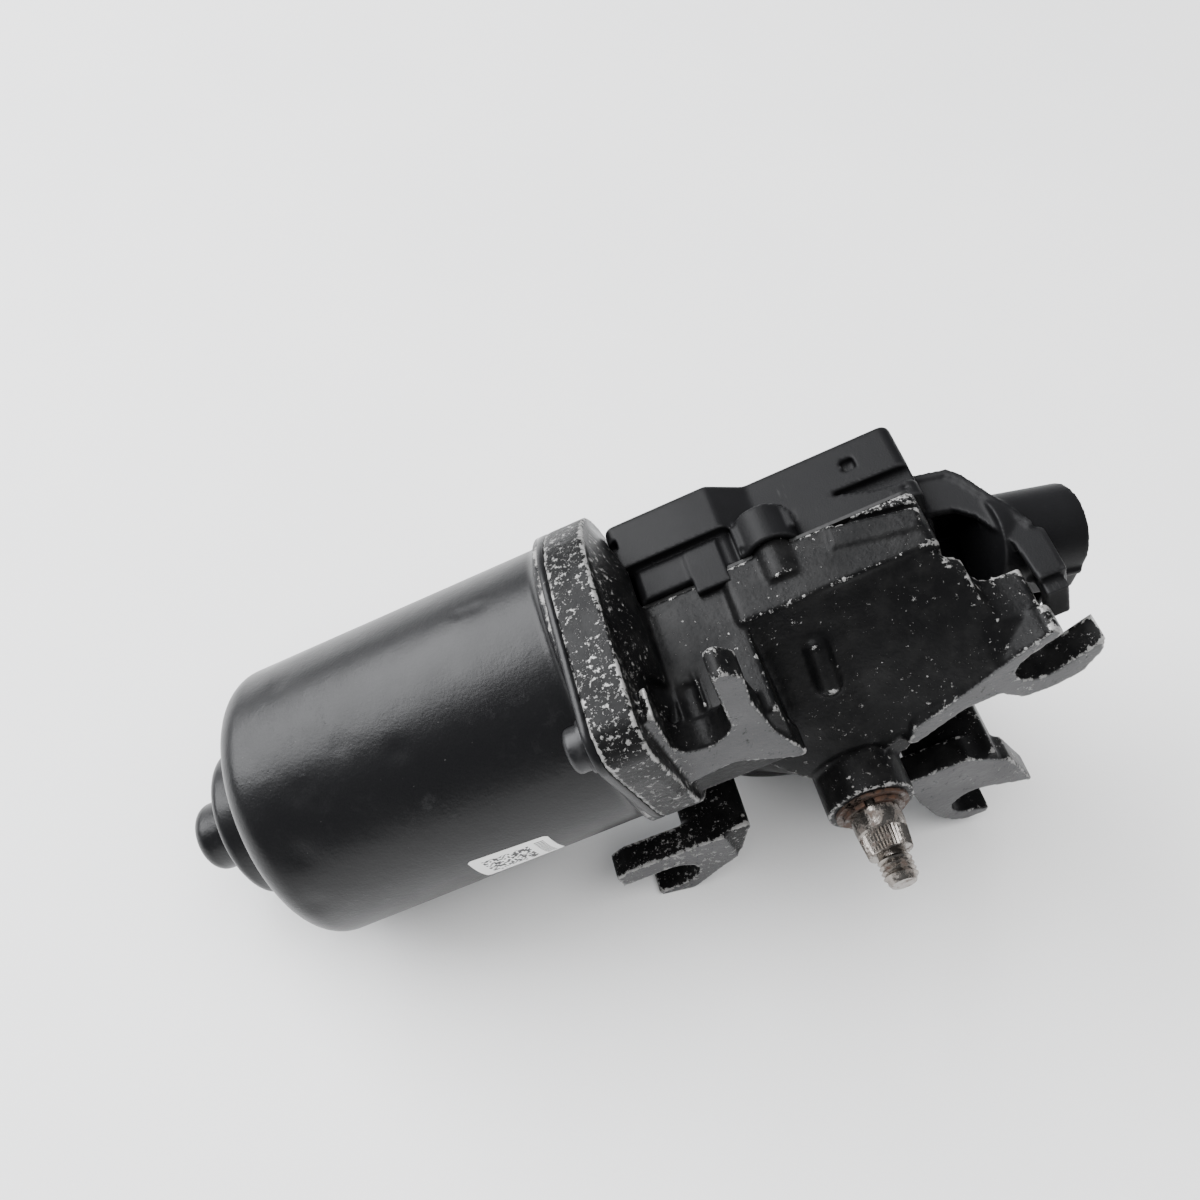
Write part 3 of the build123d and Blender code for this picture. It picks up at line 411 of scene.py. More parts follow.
for i in range(across):
    for j in range(down):
        a = i * row + j
        sticker_faces.append((a, a + row, a + row + 1, a + 1))
        sticker_faces.append(tuple(layer_size + v for v in (a, a + 1, a + row + 1, a + row)))
edge_walk = [i * row for i in range(across + 1)] + [across * row + j for j in range(1, row)]
edge_walk += [i * row + down for i in range(across - 1, -1, -1)] + [j for j in range(down - 1, 0, -1)]
for a, b in zip(edge_walk, edge_walk[1:] + edge_walk[:1]):
    sticker_faces.append((a, b, layer_size + b, layer_size + a))
sticker_mesh = make_mesh("sticker", sticker_points, sticker_faces, smooth=False)
flat_places = {}
for point, uv in zip(from_motor(sticker_points), sticker_uv):
    flat_places[tuple(np.round(point, 6))] = uv
uv_layer = sticker_mesh.uv_layers.new(name="print")
for loop in sticker_mesh.loops:
    key = tuple(np.round(np.array(sticker_mesh.vertices[loop.vertex_index].co), 6))
    uv_layer.data[loop.index].uv = flat_places.get(key, (0.0, 0.0))

paper = new_finish("printed_paper", (0.85, 0.85, 0.85), 0.55)
print_place = add_node(paper, "ShaderNodeUVMap")
print_place.uv_map = "print"
cells = add_node(paper, "ShaderNodeMapping", Vector=print_place.outputs[0], Scale=(38.0, 22.0, 1.0))
snapped = add_node(paper, "ShaderNodeVectorMath", Vector=cells.outputs[0])
snapped.operation = "FLOOR"
random_cell = add_node(paper, "ShaderNodeTexWhiteNoise", Vector=snapped.outputs[0])
inked = spread(paper, random_cell.outputs["Value"], 0.49, 0.51)
parts = add_node(paper, "ShaderNodeSeparateXYZ", Vector=print_place.outputs[0])


def between(value, low, high):
    above = combine(paper, "GREATER_THAN", value, low)
    return combine(paper, "MULTIPLY", above, combine(paper, "LESS_THAN", value, high))


code_area = combine(paper, "MULTIPLY", between(parts.outputs["X"], 0.13, 0.72),
                    between(parts.outputs["Y"], 0.16, 0.85))
scatter = combine(paper, "MULTIPLY", inked, code_area)
bar_steps = combine(paper, "FRACT", combine(paper, "MULTIPLY", parts.outputs["Y"], 16.0), 0.0)
bar_area = combine(paper, "MULTIPLY", between(parts.outputs["X"], 0.8, 0.92),
                   between(parts.outputs["Y"], 0.12, 0.9))
bars = combine(paper, "MULTIPLY", combine(paper, "LESS_THAN", bar_steps, 0.5), bar_area)
shader_input(paper, "Base Color", blend_colours(
    paper, combine(paper, "MAXIMUM", scatter, bars), (0.84, 0.84, 0.83), (0.03, 0.03, 0.03)))
relief(paper, grain(paper, 2500.0), 0.00002)
show("sticker", sticker_mesh, paper, "housing", "black_plastic")


def paint_cad(finish, *nodes):
    """Gives a carried-over piece its finish."""
    for node in nodes:
        for held in frame["nodes"][node].material_slots:
            held.link = "OBJECT"
            held.material = finish


def streaked(name, colours, scale, stretch, roughness, metallic, depth):
    """A finish of two colours mixed by stretched grain, such as drawn wire or ground stock."""
    finish = new_finish(name, colours[0], roughness[0], metallic)
    mark = grain(finish, scale, 6.0, 0.6, stretch)
    share = spread(finish, mark, 0.35, 0.65)
    shader_input(finish, "Base Color", blend_colours(finish, share, *colours))
    shader_input(finish, "Roughness", spread(finish, mark, 0.3, 0.7, *roughness))
    relief(finish, mark, depth)
    return finish


# ---- Field magnets ----
# Two ground ferrite arcs, bonded inside the can round the rotor.
# The ground faces are dull grey and slightly chalky.
paint_cad(streaked("ground_ferrite", ((0.09, 0.09, 0.095), (0.05, 0.05, 0.055)), 900.0, (1, 1, 1),
                   (0.6, 0.8), 0.0, 0.00005), "field_magnets")

# ---- Armature ----
# A ground steel shaft with the worm rolled on it carries a stack of stamped laminations,
# varnished copper windings and a turned copper commutator.
ground_steel = streaked("ground_steel", ((0.55, 0.54, 0.52), (0.4, 0.39, 0.38)), 500.0, (6, 1, 6),
                        (0.22, 0.38), 1.0, 0.00002)
paint_cad(ground_steel, "armature_shaft", "thrust_ball")
paint_cad(streaked("stamped_laminations", ((0.2, 0.2, 0.21), (0.12, 0.12, 0.12)), 900.0, (8, 0.5, 0.5),
                   (0.4, 0.6), 1.0, 0.00008), "rotor_core")
paint_cad(streaked("varnished_copper_wire", ((0.42, 0.14, 0.05), (0.22, 0.06, 0.02)), 1400.0, (1, 5, 5),
                   (0.25, 0.4), 0.6, 0.0002), "rotor_windings")
paint_cad(streaked("turned_copper", ((0.72, 0.36, 0.2), (0.5, 0.24, 0.13)), 900.0, (6, 1, 1),
                   (0.25, 0.42), 1.0, 0.00002), "commutator")

# ---- Bearings and thrust parts ----
# Plain bearings of sintered bronze, soaked in oil and pressed into their seats, with a
# hard plastic button that takes the armature's end thrust.
sintered_bronze = streaked("sintered_bronze", ((0.45, 0.28, 0.12), (0.28, 0.17, 0.07)), 2200.0, (1, 1, 1),
                           (0.35, 0.55), 1.0, 0.00006)
paint_cad(sintered_bronze, "rear_bearing", "front_bearing", "end_bearing", "shaft_bushes")
pale_nylon = streaked("pale_moulded_nylon", ((0.72, 0.69, 0.6), (0.64, 0.6, 0.5)), 120.0, (1, 1, 1),
                      (0.4, 0.5), 0.0, 0.00003)
paint_cad(pale_nylon, "thrust_button", "worm_wheel")

# ---- Brush gear ----
# A moulded phenolic plate holds three zinc-plated boxes with a carbon brush in each, pushed
# on to the commutator by a small coil spring.
paint_cad(streaked("brown_phenolic", ((0.16, 0.07, 0.03), (0.1, 0.045, 0.02)), 400.0, (1, 1, 1),
                   (0.45, 0.6), 0.0, 0.00003), "brush_plate")
plated_steel = streaked("zinc_plated_steel", ((0.5, 0.5, 0.47), (0.36, 0.36, 0.34)), 700.0, (1, 1, 1),
                        (0.3, 0.5), 1.0, 0.00003)
paint_cad(plated_steel, "brush_holders", "brush_springs", "connector_terminals", "cover_screws")
paint_cad(streaked("carbon_brush", ((0.03, 0.03, 0.03), (0.055, 0.05, 0.05)), 1800.0, (1, 1, 1),
                   (0.5, 0.7), 0.0, 0.00004), "carbon_brushes")
paint_cad(streaked("stamped_copper_track", ((0.65, 0.32, 0.18), (0.42, 0.2, 0.11)), 600.0, (1, 4, 1),
                   (0.25, 0.45), 1.0, 0.00002), "park_plate")

# ---- Gear housing ----
# A pressure die-casting in aluminium with the flange, the wheel's chamber, the boss and four
# slotted feet in one piece. Its black paint is chipped to the metal along edges and ribs.
CASTING_VOXEL = 0.0006
MOULDED_TRIANGLES = 185000  # each remade skin is thinned to this many at most
WHEEL_Z = -36.74  # the output shaft's line crosses here
FOOT_FACE_Y = -32.0
SHOULDER_Y = -50.6
FOOT_FACE_BAND = 0.0006


def bar(x0, x1, y0, y1, z0, z1, turn=0.0):
    """Box in the motor's axes, turned about Z through its middle."""
    corners = np.array([(x, y, z) for x in (x0, x1) for y in (y0, y1) for z in (z0, z1)])
    middle = corners.mean(0)
    c, s = cos(radians(turn)), sin(radians(turn))
    swing = np.array(((c, -s, 0), (s, c, 0), (0, 0, 1)))
    points = (corners - middle) @ swing.T + middle
    faces = [(0, 1, 3, 2), (4, 6, 7, 5), (0, 4, 5, 1), (2, 3, 7, 6), (0, 2, 6, 4), (1, 5, 7, 3)]
    return points, faces


def stick(a, b, radius, steps=24):
    """Round-ended rod between two points."""
    a, b = np.array(a, float), np.array(b, float)
    along = (b - a) / np.linalg.norm(b - a)
    side = np.cross(along, (0.3, 0.5, 0.81))
    side /= np.linalg.norm(side)
    other = np.cross(along, side)
    points, faces = [], []
    rings = [(a, -0.98), (a, -0.7), (a, -0.35), (a, 0.0), (b, 0.0), (b, 0.35), (b, 0.7), (b, 0.98)]
    for end, share in rings:
        r = radius * np.sqrt(1 - share ** 2)
        for i in range(steps):
            t = 2 * pi * i / steps
            points.append(end + along * radius * share + side * r * cos(t) + other * r * sin(t))
    for k in range(len(rings) - 1):
        for i in range(steps):
            j = (i + 1) % steps
            faces.append((k * steps + i, k * steps + j, (k + 1) * steps + j, (k + 1) * steps + i))
    faces.append(tuple(range(steps)))
    faces.append(tuple(range((len(rings) - 1) * steps, len(rings) * steps)))
    return np.array(points), faces


def gathered(name, shapes):
    """Several closed shapes as one mesh."""
    points, faces = [], []
    for shape_points, shape_faces in shapes:
        start = len(points)
        points += list(shape_points)
        faces += [tuple(v + start for v in f) for f in shape_faces]
    return make_mesh(name, points, faces)


def moulded(node, name, added, cut, voxel, smoothing):
    """A CAD piece with small shapes added and cut, remade as one skin with softened edges."""
    whole = bmesh.new()
    whole.from_mesh(frame["nodes"][node].data)
    bmesh.ops.remove_doubles(whole, verts=whole.verts, dist=1e-6)
    body_mesh = bpy.data.meshes.new(name + "_rough")
    whole.to_mesh(body_mesh)
    whole.free()
    rough = bpy.data.objects.new(name + "_rough", body_mesh)
    cutter = bpy.data.objects.new(name + "_cut", gathered(name + "_cut", cut))
    extra = bpy.data.objects.new(name + "_more", gathered(name + "_more", added))
    for held in (rough, cutter, extra):
        bpy.context.scene.collection.objects.link(held)
    for label, operand, operation in (("more", extra, "UNION"), ("cut", cutter, "DIFFERENCE")):
        step = rough.modifiers.new(label, "BOOLEAN")
        step.object = operand
        step.operation = operation
        step.solver = "EXACT"
        step.use_self = True
    skin = rough.modifiers.new("skin", "REMESH")
    skin.mode = "VOXEL"
    skin.voxel_size = voxel
    soften = rough.modifiers.new("soften", "SMOOTH")
    soften.factor = 0.5
    soften.iterations = smoothing
    thin = rough.modifiers.new("thin", "DECIMATE")
    graph = bpy.context.evaluated_depsgraph_get()
    count = len(rough.evaluated_get(graph).data.loop_triangles)
    thin.ratio = min(1.0, MOULDED_TRIANGLES / count)
    graph = bpy.context.evaluated_depsgraph_get()
    made = bpy.data.meshes.new_from_object(rough.evaluated_get(graph))
    made.name = name
    for held in (rough, cutter, extra):
        bpy.data.objects.remove(held)
    made.shade_smooth()
    return made


def turned_about_y(profile, x, z, steps=96):
    """A shape turned about a line along Y through (x, z), from points (y, radius)."""
    points, faces = turned(profile, steps)
    return np.stack([x + points[:, 1], points[:, 0], z + points[:, 2]], axis=1), faces


CHAMBER_STEP = [(-7.0, 34.2), (-7.0, 36.9), (-8.6, 36.9), (-11.2, 33.2), (-11.2, 29.0), (-9.1, 29.0),
                (-9.1, 34.2), (-7.0, 34.2)]
FLANGE_GROOVE = [(10.3, 34.3), (10.3, 37.0), (11.1, 37.0), (11.1, 34.3), (10.3, 34.3)]
casting_added = [
    turned_about_y(CHAMBER_STEP, SHAFT_X, WHEEL_Z, 180),  # chamfered foot of the wheel's chamber
    stick((51.4, -14.0, 0.1), (50.7, -19.4, -8.6), 3.0),  # half-round post on the funnel
    bar(20.1, 20.8, -24.0, 3.0, 9.4, 10.4),  # ribs on the worm's end
    bar(25.0, 25.7, -23.4, -14.2, 9.4, 10.4),
    stick((12.6, -35.6, 15.0), (12.6, -35.0, 2.0), 1.7),  # rib below the flange
    bar(63.0, 82.4, -2.0, 3.4, 11.0, 12.1, -12.0),  # raised panel over the thrust end
]
casting_cut = [
    turned(FLANGE_GROOVE, 120),
    bar(18.9, 19.6, -24.0, 3.0, 9.2, 11.0),
    bar(24.1, 24.7, -23.6, -14.2, 8.9, 11.0),
    bar(64.6, 83.6, 3.3, 4.7, 9.6, 13.0, -12.0),  # groove over the raised panel
    bar(28.4, 32.2, -33.0, -31.2, 5.5, 6.2),  # gate mark in the first foot's face
]
casting_mesh = moulded("gear_housing", "gear_casting", casting_added, casting_cut, CASTING_VOXEL, 3)
casting_place, casting_normal = edge_sharpness_for_wear_and_highlight(casting_mesh, passes=4)



def store(mesh, name, values):
    """Keeps one value for each point of a mesh, for its finish to read."""
    layer = mesh.attributes.new(name, "FLOAT", "POINT")
    layer.data.foreach_set("value", values.astype(np.float32))


# the flange and the far feet are knocked most
along = ((casting_place - motor_place) @ motor_turn)[:, 0] / MM + SHAFT_X
knocked = np.clip((19.0 - along) / 3.0, 0.0, 1.0) + np.clip((along - 78.0) / 12.0, 0.0, 0.6)
store(casting_mesh, "knocked", knocked)
# the four feet's machined faces lie in one plane; this mask of them also carries a painted reflection that
# lightens these faces
foot_y = (FOOT_FACE_Y - SHOULDER_Y) * MM
in_plane = np.abs(casting_place[:, 1] - foot_y) < FOOT_FACE_BAND
store(casting_mesh, "machined_face_and_reflection", in_plane & (casting_normal[:, 1] < -0.8))

chipped_paint = new_finish("chipped_black_casting", (0.006, 0.006, 0.006), 0.4)


def attribute_of(finish, name):
    node = add_node(finish, "ShaderNodeAttribute")
    node.attribute_name = name
    return node.outputs["Fac"]


edge = spread(chipped_paint, attribute_of(chipped_paint, "edge_wear_and_highlight"), 0.045, 0.12)
patches = spread(chipped_paint, grain(chipped_paint, 55.0, 4.0, 0.6), 0.4, 0.62)
edge_wear_and_highlight_share = combine(chipped_paint, "MULTIPLY", edge, 0.17)
knock_share = combine(chipped_paint, "MULTIPLY", attribute_of(chipped_paint, "knocked"), 0.06)
patch_share = combine(chipped_paint, "MULTIPLY", patches, 0.045)
worn_more = combine(chipped_paint, "ADD", edge_wear_and_highlight_share, knock_share)
worn_more = combine(chipped_paint, "ADD", worn_more, patch_share)
chip_grain = grain(chipped_paint, 620.0, 7.0, 0.72)
chips = spread(chipped_paint, combine(chipped_paint, "ADD", chip_grain, worn_more), 0.664, 0.682)
fleck_grain = grain(chipped_paint, 1500.0, 3.0, 0.75)
flecks = spread(chipped_paint, combine(chipped_paint, "ADD", fleck_grain, worn_more), 0.725, 0.74)
bare_metal = combine(chipped_paint, "MAXIMUM", chips, combine(chipped_paint, "MULTIPLY", flecks, 0.75))

# the feet's faces show grey metal through thin paint, with dark pits; part of their grey is a painted
# reflection of the light these faces turn towards
unpitted = spread(chipped_paint, grain(chipped_paint, 700.0, 6.0, 0.7, (1, 1, 0.5)), 0.66, 0.58)
worn_face_and_reflection = combine(chipped_paint, "MULTIPLY", attribute_of(chipped_paint, "machined_face_and_reflection"), unpitted)
tone_grain = spread(chipped_paint, grain(chipped_paint, 160.0, 8.0, 0.7), 0.45, 0.75)
paint_tone = blend_colours(chipped_paint, tone_grain, (0.0035, 0.0035, 0.0037), (0.0105, 0.0104, 0.0104))
grey_and_reflection_share = combine(chipped_paint, "MULTIPLY", worn_face_and_reflection, 0.85)
grey_and_reflection_tone = blend_colours(chipped_paint, grey_and_reflection_share, paint_tone, (0.085, 0.085, 0.087))
metal_grain = grain(chipped_paint, 900.0)
metal_tone = blend_colours(chipped_paint, metal_grain, (0.34, 0.335, 0.33), (0.16, 0.16, 0.155))
sheen = spread(chipped_paint, grain(chipped_paint, 90.0, 6.0), 0.3, 0.72, 0.27, 0.5)
shader_input(chipped_paint, "Base Color", blend_colours(chipped_paint, bare_metal, grey_and_reflection_tone, metal_tone))
shader_input(chipped_paint, "Specular IOR Level", 0.11)
shader_input(chipped_paint, "Metallic", combine(chipped_paint, "MULTIPLY", bare_metal, 0.35))
shader_input(chipped_paint, "Roughness", sheen)
fine_cast = combine(chipped_paint, "MULTIPLY", grain(chipped_paint, 1100.0, 4.0, 0.6), 0.8)
broad_cast = combine(chipped_paint, "MULTIPLY", grain(chipped_paint, 260.0, 6.0, 0.65), 1.6)
casting_grain = combine(chipped_paint, "ADD", fine_cast, broad_cast)
chipped_in = combine(chipped_paint, "MULTIPLY", bare_metal, 1.1)
relief(chipped_paint, combine(chipped_paint, "SUBTRACT", casting_grain, chipped_in), 0.00011)
show("gear_casting", casting_mesh, chipped_paint, "housing", "black_casting", "gear_housing")

# ---- Can screws ----
# Two pan-head screws with six-lobe sockets hold the can to the casting, each on a plain
# washer. Both have a black oxide finish that is worn on top.
paint_cad(streaked("black_oxide_steel", ((0.008, 0.008, 0.009), (0.022, 0.022, 0.023)), 500.0, (1, 1, 1),
                   (0.3, 0.5), 0.4, 0.00006), "can_screws", "can_screw_washers")

# ---- Shaft seal and retaining parts ----
# The boss's mouth holds a rubber ring, then a steel washer and a split ring in the shaft's
# groove. They are rusty and packed with old grease.
seal_rubber = streaked("greasy_rubber", ((0.006, 0.0055, 0.005), (0.02, 0.014, 0.01)), 500.0, (1, 1, 1),
                       (0.3, 0.6), 0.0, 0.0001)
paint_cad(seal_rubber, "shaft_seal")


def rusted(name, clean, rust_share):
    """Machined steel with rust in patches."""
    finish = new_finish(name, clean, 0.3, 1.0)
    rust = spread(finish, combine(finish, "ADD", grain(finish, 420.0, 8.0, 0.7), rust_share), 0.62, 0.78)
    rust_grain = grain(finish, 1300.0, 5.0)
    rust_tone = blend_colours(finish, rust_grain, (0.035, 0.017, 0.011), (0.085, 0.045, 0.028))
    ground = grain(finish, 700.0, 4.0, 0.6, (1, 6, 1))
    steel = blend_colours(finish, ground, clean, tuple(c * 0.6 for c in clean))
    shader_input(finish, "Base Color", blend_colours(finish, rust, steel, rust_tone))
    shader_input(finish, "Metallic", spread(finish, rust, 0.0, 1.0, 1.0, 0.1))
    shader_input(finish, "Roughness", spread(finish, rust, 0.0, 1.0, 0.24, 0.75))
    relief(finish, combine(finish, "ADD", grain(finish, 1600.0, 4.0), rust), 0.00006)
    return finish


paint_cad(rusted("rusty_greased_steel", (0.08, 0.065, 0.055), 0.2), "retaining_washer", "retaining_ring")

# ---- Output shaft ----
# A ground steel shaft with a knurled taper, rolled on, for the crank arm and an M8 thread
# for its nut. Rust has started in the knurl.
SHAFT_TOP = 5.0
SHAFT_R = 6.0
GROOVE_TOP, GROOVE_LOW, GROOVE_R = -39.5, -40.7, 5.3
TAPER_START, TAPER_R = -43.8, 5.25
KNURL_START = -45.2
KNURL_DEPTH = 0.34
KNURL_COUNT = 40
RIDGE_HALF = 0.50
THREAD_R, THREAD_END, THREAD_PITCH = 4.0, -58.0, 1.25
THREAD_DEPTH = 0.62


def shaft_r(y):
    """Radius of the shaft's skin on its taper."""
    share = (TAPER_START - y) / (TAPER_START - SHOULDER_Y)
    return SHAFT_R + (TAPER_R - SHAFT_R) * min(max(share, 0.0), 1.0)


core_r = THREAD_R - THREAD_DEPTH
knurl_root = TAPER_R - KNURL_DEPTH
relief_r = THREAD_R - 0.7
shaft_profile = [(SHAFT_TOP, 0.0), (SHAFT_TOP, SHAFT_R - 0.4), (SHAFT_TOP - 0.4, SHAFT_R)]
shaft_profile += [(GROOVE_TOP, SHAFT_R), (GROOVE_TOP, GROOVE_R)]
shaft_profile += [(GROOVE_LOW, GROOVE_R), (GROOVE_LOW, SHAFT_R)]
shaft_profile += [(TAPER_START, SHAFT_R), (KNURL_START, shaft_r(KNURL_START))]
shaft_profile += [(KNURL_START - 0.5, shaft_r(KNURL_START - 0.5) - KNURL_DEPTH)]
shaft_profile += [(SHOULDER_Y + 0.4, knurl_root), (SHOULDER_Y, knurl_root - 0.35)]
shaft_profile += [(SHOULDER_Y, relief_r), (SHOULDER_Y - 0.6, relief_r)]
shaft_profile += [(SHOULDER_Y - 0.8, core_r), (THREAD_END + 0.7, core_r)]
shaft_profile += [(THREAD_END, THREAD_R - 1.0), (THREAD_END, 0.0)]
shaft_core = make_mesh("shaft_core", *turned_about_y(shaft_profile, SHAFT_X, WHEEL_Z, 128))


def new_tree(name, **sizes):
    """A node tree for one kind of repeated shape, with its sizes as named inputs."""
    tree = bpy.data.node_groups.new(name, "GeometryNodeTree")
    for label, kind in sizes.items():
        tree.interface.new_socket(label, in_out="INPUT", socket_type="NodeSocket" + kind)
    tree.interface.new_socket("Geometry", in_out="OUTPUT", socket_type="NodeSocketGeometry")
    return tree, tree.nodes.new("NodeGroupInput").outputs


def step_of(tree, kind, settings=None, **inputs):
    """One step of such a tree, with its inputs set or joined by their names."""
    node = tree.nodes.new(kind)
    for name, value in (settings or {}).items():
        setattr(node, name, value)
    for name, value in inputs.items():
        socket = node.inputs[name.replace("_", " ")]
        if isinstance(value, bpy.types.NodeSocket):
            tree.links.new(value, socket)
        else:
            socket.default_value = value
    return node


def end_tree(tree, geometry, finish):
    whole = step_of(tree, "GeometryNodeRealizeInstances", Geometry=geometry)
    coated = step_of(tree, "GeometryNodeSetMaterial", Geometry=whole.outputs[0], Material=finish)
    result = tree.nodes.new("NodeGroupOutput")
    tree.links.new(coated.outputs[0], result.inputs[0])


def grown(tree, name, **values):
    """Runs a tree once with these sizes, and keeps its result as a plain mesh."""
    holder = bpy.data.objects.new(name, bpy.data.meshes.new(name + "_seed"))
    bpy.context.scene.collection.objects.link(holder)
    step = holder.modifiers.new("grow", "NODES")
    step.node_group = tree
    for socket in tree.interface.items_tree:
        if socket.in_out == "INPUT":
            step[socket.identifier] = values[socket.name]
    graph = bpy.context.evaluated_depsgraph_get()
    made = bpy.data.meshes.new_from_object(holder.evaluated_get(graph))
    bpy.data.objects.remove(holder)
    return made


machined_steel = rusted("machined_shaft_steel", (0.3, 0.275, 0.25), 0.1)

knurl_tree, size = new_tree("knurl", Count="Int", Radius="Float", Length="Float", Width="Float", Lean="Float")
circle = step_of(knurl_tree, "GeometryNodeMeshCircle", Vertices=size["Count"], Radius=size["Radius"])
ridge_size = step_of(knurl_tree, "ShaderNodeCombineXYZ", X=size["Width"], Y=size["Width"], Z=size["Length"])
ridge = step_of(knurl_tree, "GeometryNodeMeshCube", Size=ridge_size.outputs[0])
on_edge = step_of(knurl_tree, "GeometryNodeTransform", Geometry=ridge.outputs[0], Rotation=(0, 0, pi / 4))
lean = step_of(knurl_tree, "ShaderNodeCombineXYZ", Y=size["Lean"])
leaning = step_of(knurl_tree, "GeometryNodeTransform", Geometry=on_edge.outputs[0], Rotation=lean.outputs[0])
place = step_of(knurl_tree, "GeometryNodeInputPosition")
outwards = step_of(knurl_tree, "FunctionNodeAlignRotationToVector", {"axis": "X"}, Vector=place.outputs[0])
ridges = step_of(knurl_tree, "GeometryNodeInstanceOnPoints", Points=circle.outputs[0],
                 Instance=leaning.outputs[0], Rotation=outwards.outputs[0])
end_tree(knurl_tree, ridges.outputs[0], machined_steel)

thread_tree, size = new_tree("thread", Turns="Float", Radius="Float", Height="Float", Depth="Float")
helix = step_of(thread_tree, "GeometryNodeCurveSpiral", Resolution=64, Rotations=size["Turns"],
                Start_Radius=size["Radius"], End_Radius=size["Radius"], Height=size["Height"])
upright = step_of(thread_tree, "GeometryNodeSetCurveNormal", {"mode": "Z_UP"}, Curve=helix.outputs[0])
diamond = step_of(thread_tree, "GeometryNodeCurvePrimitiveCircle", Resolution=4, Radius=size["Depth"])
flight = step_of(thread_tree, "GeometryNodeCurveToMesh", Curve=upright.outputs[0],
                 Profile_Curve=diamond.outputs[0], Fill_Caps=True)
end_tree(thread_tree, flight.outputs[0], machined_steel)

# both trees grow about +Z, which becomes the shaft's own -Y
output_joint = next(j for j in frame["joints"] if j["name"] == "output_spin")
shaft_at = Vector(output_joint["pos_m"])


def on_shaft(mesh, y):
    """Turns a mesh grown about +Z on to the shaft, and slides its middle to y."""
    slide = Matrix.Translation(shaft_at + Vector((0, (y - SHOULDER_Y) * MM, 0)))
    mesh.transform(slide @ Matrix.Rotation(pi / 2, 4, "X"))


knurl_length = KNURL_START - SHOULDER_Y - 0.6
knurl_middle = (KNURL_START + SHOULDER_Y) / 2 - 0.15
knurl_mesh = grown(knurl_tree, "knurl", Count=KNURL_COUNT, Radius=(shaft_r(knurl_middle) - RIDGE_HALF) * MM,
                   Length=knurl_length * MM, Width=RIDGE_HALF * 2 ** 0.5 * MM,
                   Lean=-np.arctan((SHAFT_R - TAPER_R) / (TAPER_START - SHOULDER_Y)))
on_shaft(knurl_mesh, knurl_middle)
thread_length = SHOULDER_Y - 1.2 - THREAD_END - 0.8
thread_mesh = grown(thread_tree, "thread", Turns=thread_length / THREAD_PITCH, Radius=core_r * MM,
                    Height=thread_length * MM, Depth=THREAD_DEPTH * MM)
on_shaft(thread_mesh, SHOULDER_Y - 1.0)


def one_mesh(name, *meshes):
    """Several meshes in the frame's own place as one."""
    whole = bmesh.new()
    for mesh in meshes:
        whole.from_mesh(mesh)
    made = bpy.data.meshes.new(name)
    whole.to_mesh(made)
    whole.free()
    return made


shaft_mesh = one_mesh("output_shaft_turned", shaft_core, knurl_mesh, thread_mesh)
shaft_mesh.shade_smooth()
shaft_mesh.set_sharp_from_angle(angle=radians(32))
show("output_shaft_turned", shaft_mesh, machined_steel, "output", "bright_steel", "output_shaft")

# ---- Cover gasket ----
# A flat ring of black rubber, cut to the chamber's outline and squeezed between the casting
# and the cover by the four cover screws.
paint_cad(streaked("black_rubber", ((0.005, 0.005, 0.005), (0.009, 0.009, 0.009)), 600.0, (1, 1, 1),
                   (0.5, 0.7), 0.0, 0.00005), "cover_gasket")

# ---- Gear cover and its plug socket ----
# One injection moulding in black glass-filled plastic: a deep cover with a stepped skirt and
# a hood for the casting's lug, and a bent arm that carries the socket for the loom's plug.
COVER_VOXEL = 0.00045
SOCKET_PLACE = np.array((94.0, -1.8, -8.0))
SOCKET_TILT = radians(22.0)
socket_along = np.array((cos(SOCKET_TILT), 0, -sin(SOCKET_TILT)))
socket_up = np.array((sin(SOCKET_TILT), 0, cos(SOCKET_TILT)))


def at_socket(shape):
    """From the socket's own level axes to the motor's."""
    points, faces = shape
    placed = [SOCKET_PLACE + p[0] * socket_along + np.array((0, p[1], 0)) + p[2] * socket_up for p in points]
    return np.array(placed), faces


def prism(outline, z0, z1):
    """Straight prism over an outline in (x, y)."""
    count = len(outline)
    points = [(x, y, z) for z in (z0, z1) for x, y in outline]
    faces = [(i, (i + 1) % count, count + (i + 1) % count, count + i) for i in range(count)]
    faces += [tuple(range(count)), tuple(range(count, 2 * count))]
    return np.array(points, float), faces


ARM_LIP = [(86, 17.2), (93.8, 15.1), (96.0, 12.4), (104.2, -6.4), (103.2, -7.2), (94.6, 11.4), (92.9, 13.6),
           (86, 15.4)]
ARM_WALL = [(85.5, 16.4), (93.6, 14.3), (95.2, 12.1), (98.3, 4.3), (102.6, -5.7), (101.0, -6.4), (96.8, 3.6),
            (93.7, 10.9), (92.6, 12.3), (85.5, 14.2)]
ARM_BACK = [(85.5, 15.5), (93.4, 13.4), (101.5, -5.5), (101.5, -11.0), (85.5, -11.0)]
WEDGE = [(65.4, 16.3), (86.5, 15.6), (86.5, 11.2), (77.8, 12.1)]
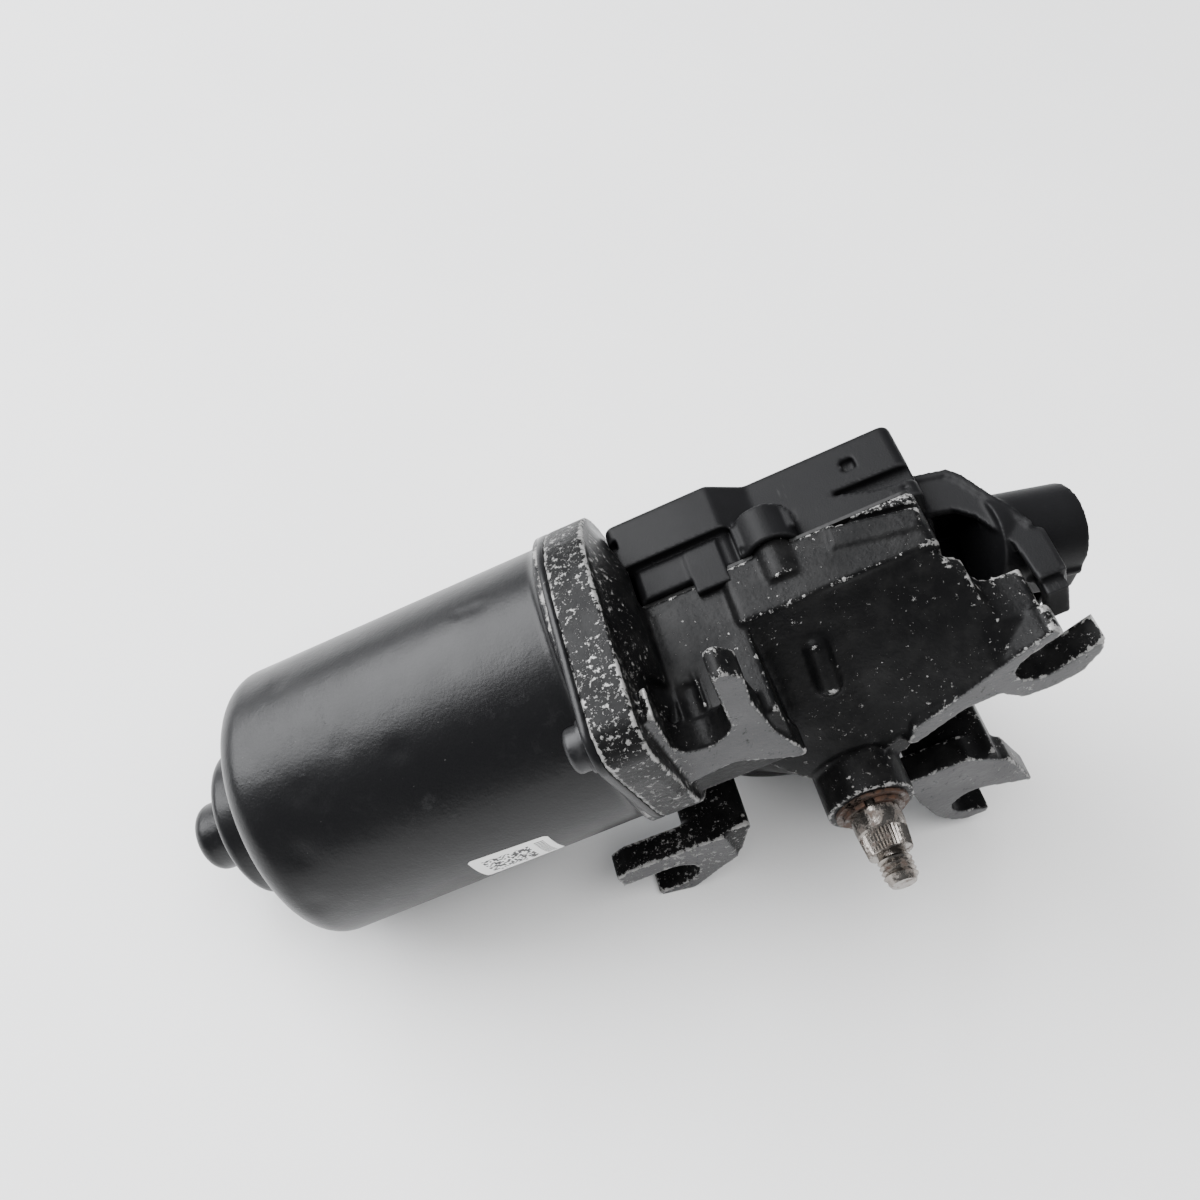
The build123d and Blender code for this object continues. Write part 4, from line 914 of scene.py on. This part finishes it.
# the cover screws' heads lie deep in these wells, in (x, z)
SCREW_WELLS = [(21.2, -11.2), (78.8, 2.5), (12.72, -51.24), (84.48, -51.24)]
WELL_WALL = [(20.0, 3.85), (20.0, 4.65), (27.4, 4.65), (27.4, 3.5), (23.4, 3.5), (23.4, 3.85), (20.0, 3.85)]
cover_added = [turned_about_y(WELL_WALL, x, z, 48) for x, z in SCREW_WELLS]
cover_added += [
    bar(20.9, 32.4, 7.0, 14.6, 9.6, 11.6),  # two stepped tabs over the casting
    bar(32.2, 40.2, 2.8, 14.6, 9.2, 12.0),
    bar(44.2, 57.8, 8.6, 14.6, 8.0, 13.2),  # hood over the lug
    at_socket(bar(7.0, 19.6, -11.4, -8.0, -2.4, -0.8)),  # ledge along the socket
    at_socket(bar(4.0, 16.0, -9.9, -8.5, -20.0, -18.6)),
    prism(ARM_LIP, -0.4, 0.5),
    prism(ARM_WALL, -24.5, -13.0),  # deep outer wall of the arm's hollow, and its back
    prism(ARM_BACK, -25.5, -24.0),
    bar(99.6, 104.4, -22.8, -19.0, -13.0, -2.0),  # end of the arm
]
cover_cut = [
    bar(72.5, 75.6, 20.1, 23.3, 6.2, 9.0),  # rectangular pocket
    prism(WEDGE, 5.6, 9.0),
    bar(80.2, 84.2, 9.4, 10.2, 6.6, 9.0, -8.0),
    bar(15.5, 18.8, 21.0, 24.0, 11.0, 15.5),  # notch by the flange
    bar(57.4, 58.6, 13.0, 16.0, 7.0, 13.6),  # slit beside the hood
]
cover_mesh = moulded("gear_cover", "moulded_cover", cover_added, cover_cut, COVER_VOXEL, 3)
edge_sharpness_for_wear_and_highlight(cover_mesh, passes=3)
black_moulding = new_finish("black_moulded_plastic", (0.008, 0.008, 0.0085), 0.5)
# the cover's sharper edges are painted lighter, a painted highlight standing in for light caught along them
edge_highlight_mask = spread(black_moulding, attribute_of(black_moulding, "edge_wear_and_highlight"), 0.06, 0.16)
scratch = spread(black_moulding, grain(black_moulding, 240.0, 6.0, 0.7, (1, 0.25, 1)), 0.64, 0.7)
haze = spread(black_moulding, grain(black_moulding, 45.0, 5.0), 0.35, 0.75)
plastic_tone = blend_colours(black_moulding, haze, (0.0045, 0.0045, 0.0049), (0.0072, 0.0072, 0.0079))
edge_wear_and_highlight_share = combine(black_moulding, "MULTIPLY", edge_highlight_mask, 0.35)
lit_edge = blend_colours(black_moulding, edge_wear_and_highlight_share, plastic_tone, (0.035, 0.035, 0.036))
scratch_share = combine(black_moulding, "MULTIPLY", scratch, 0.3)
shader_input(black_moulding, "Base Color", blend_colours(
    black_moulding, scratch_share, lit_edge, (0.04, 0.04, 0.04)))
shader_input(black_moulding, "Specular IOR Level", 0.13)
shader_input(black_moulding, "Roughness", spread(black_moulding, haze, 0.0, 1.0, 0.42, 0.56))
spark_grain = grain(black_moulding, 3200.0, 2.0)
sink_grain = combine(black_moulding, "MULTIPLY", grain(black_moulding, 420.0, 3.0), 0.6)
relief(black_moulding, combine(black_moulding, "ADD", spark_grain, sink_grain), 0.00004)
show("moulded_cover", cover_mesh, black_moulding, "housing", "black_plastic", "gear_cover")
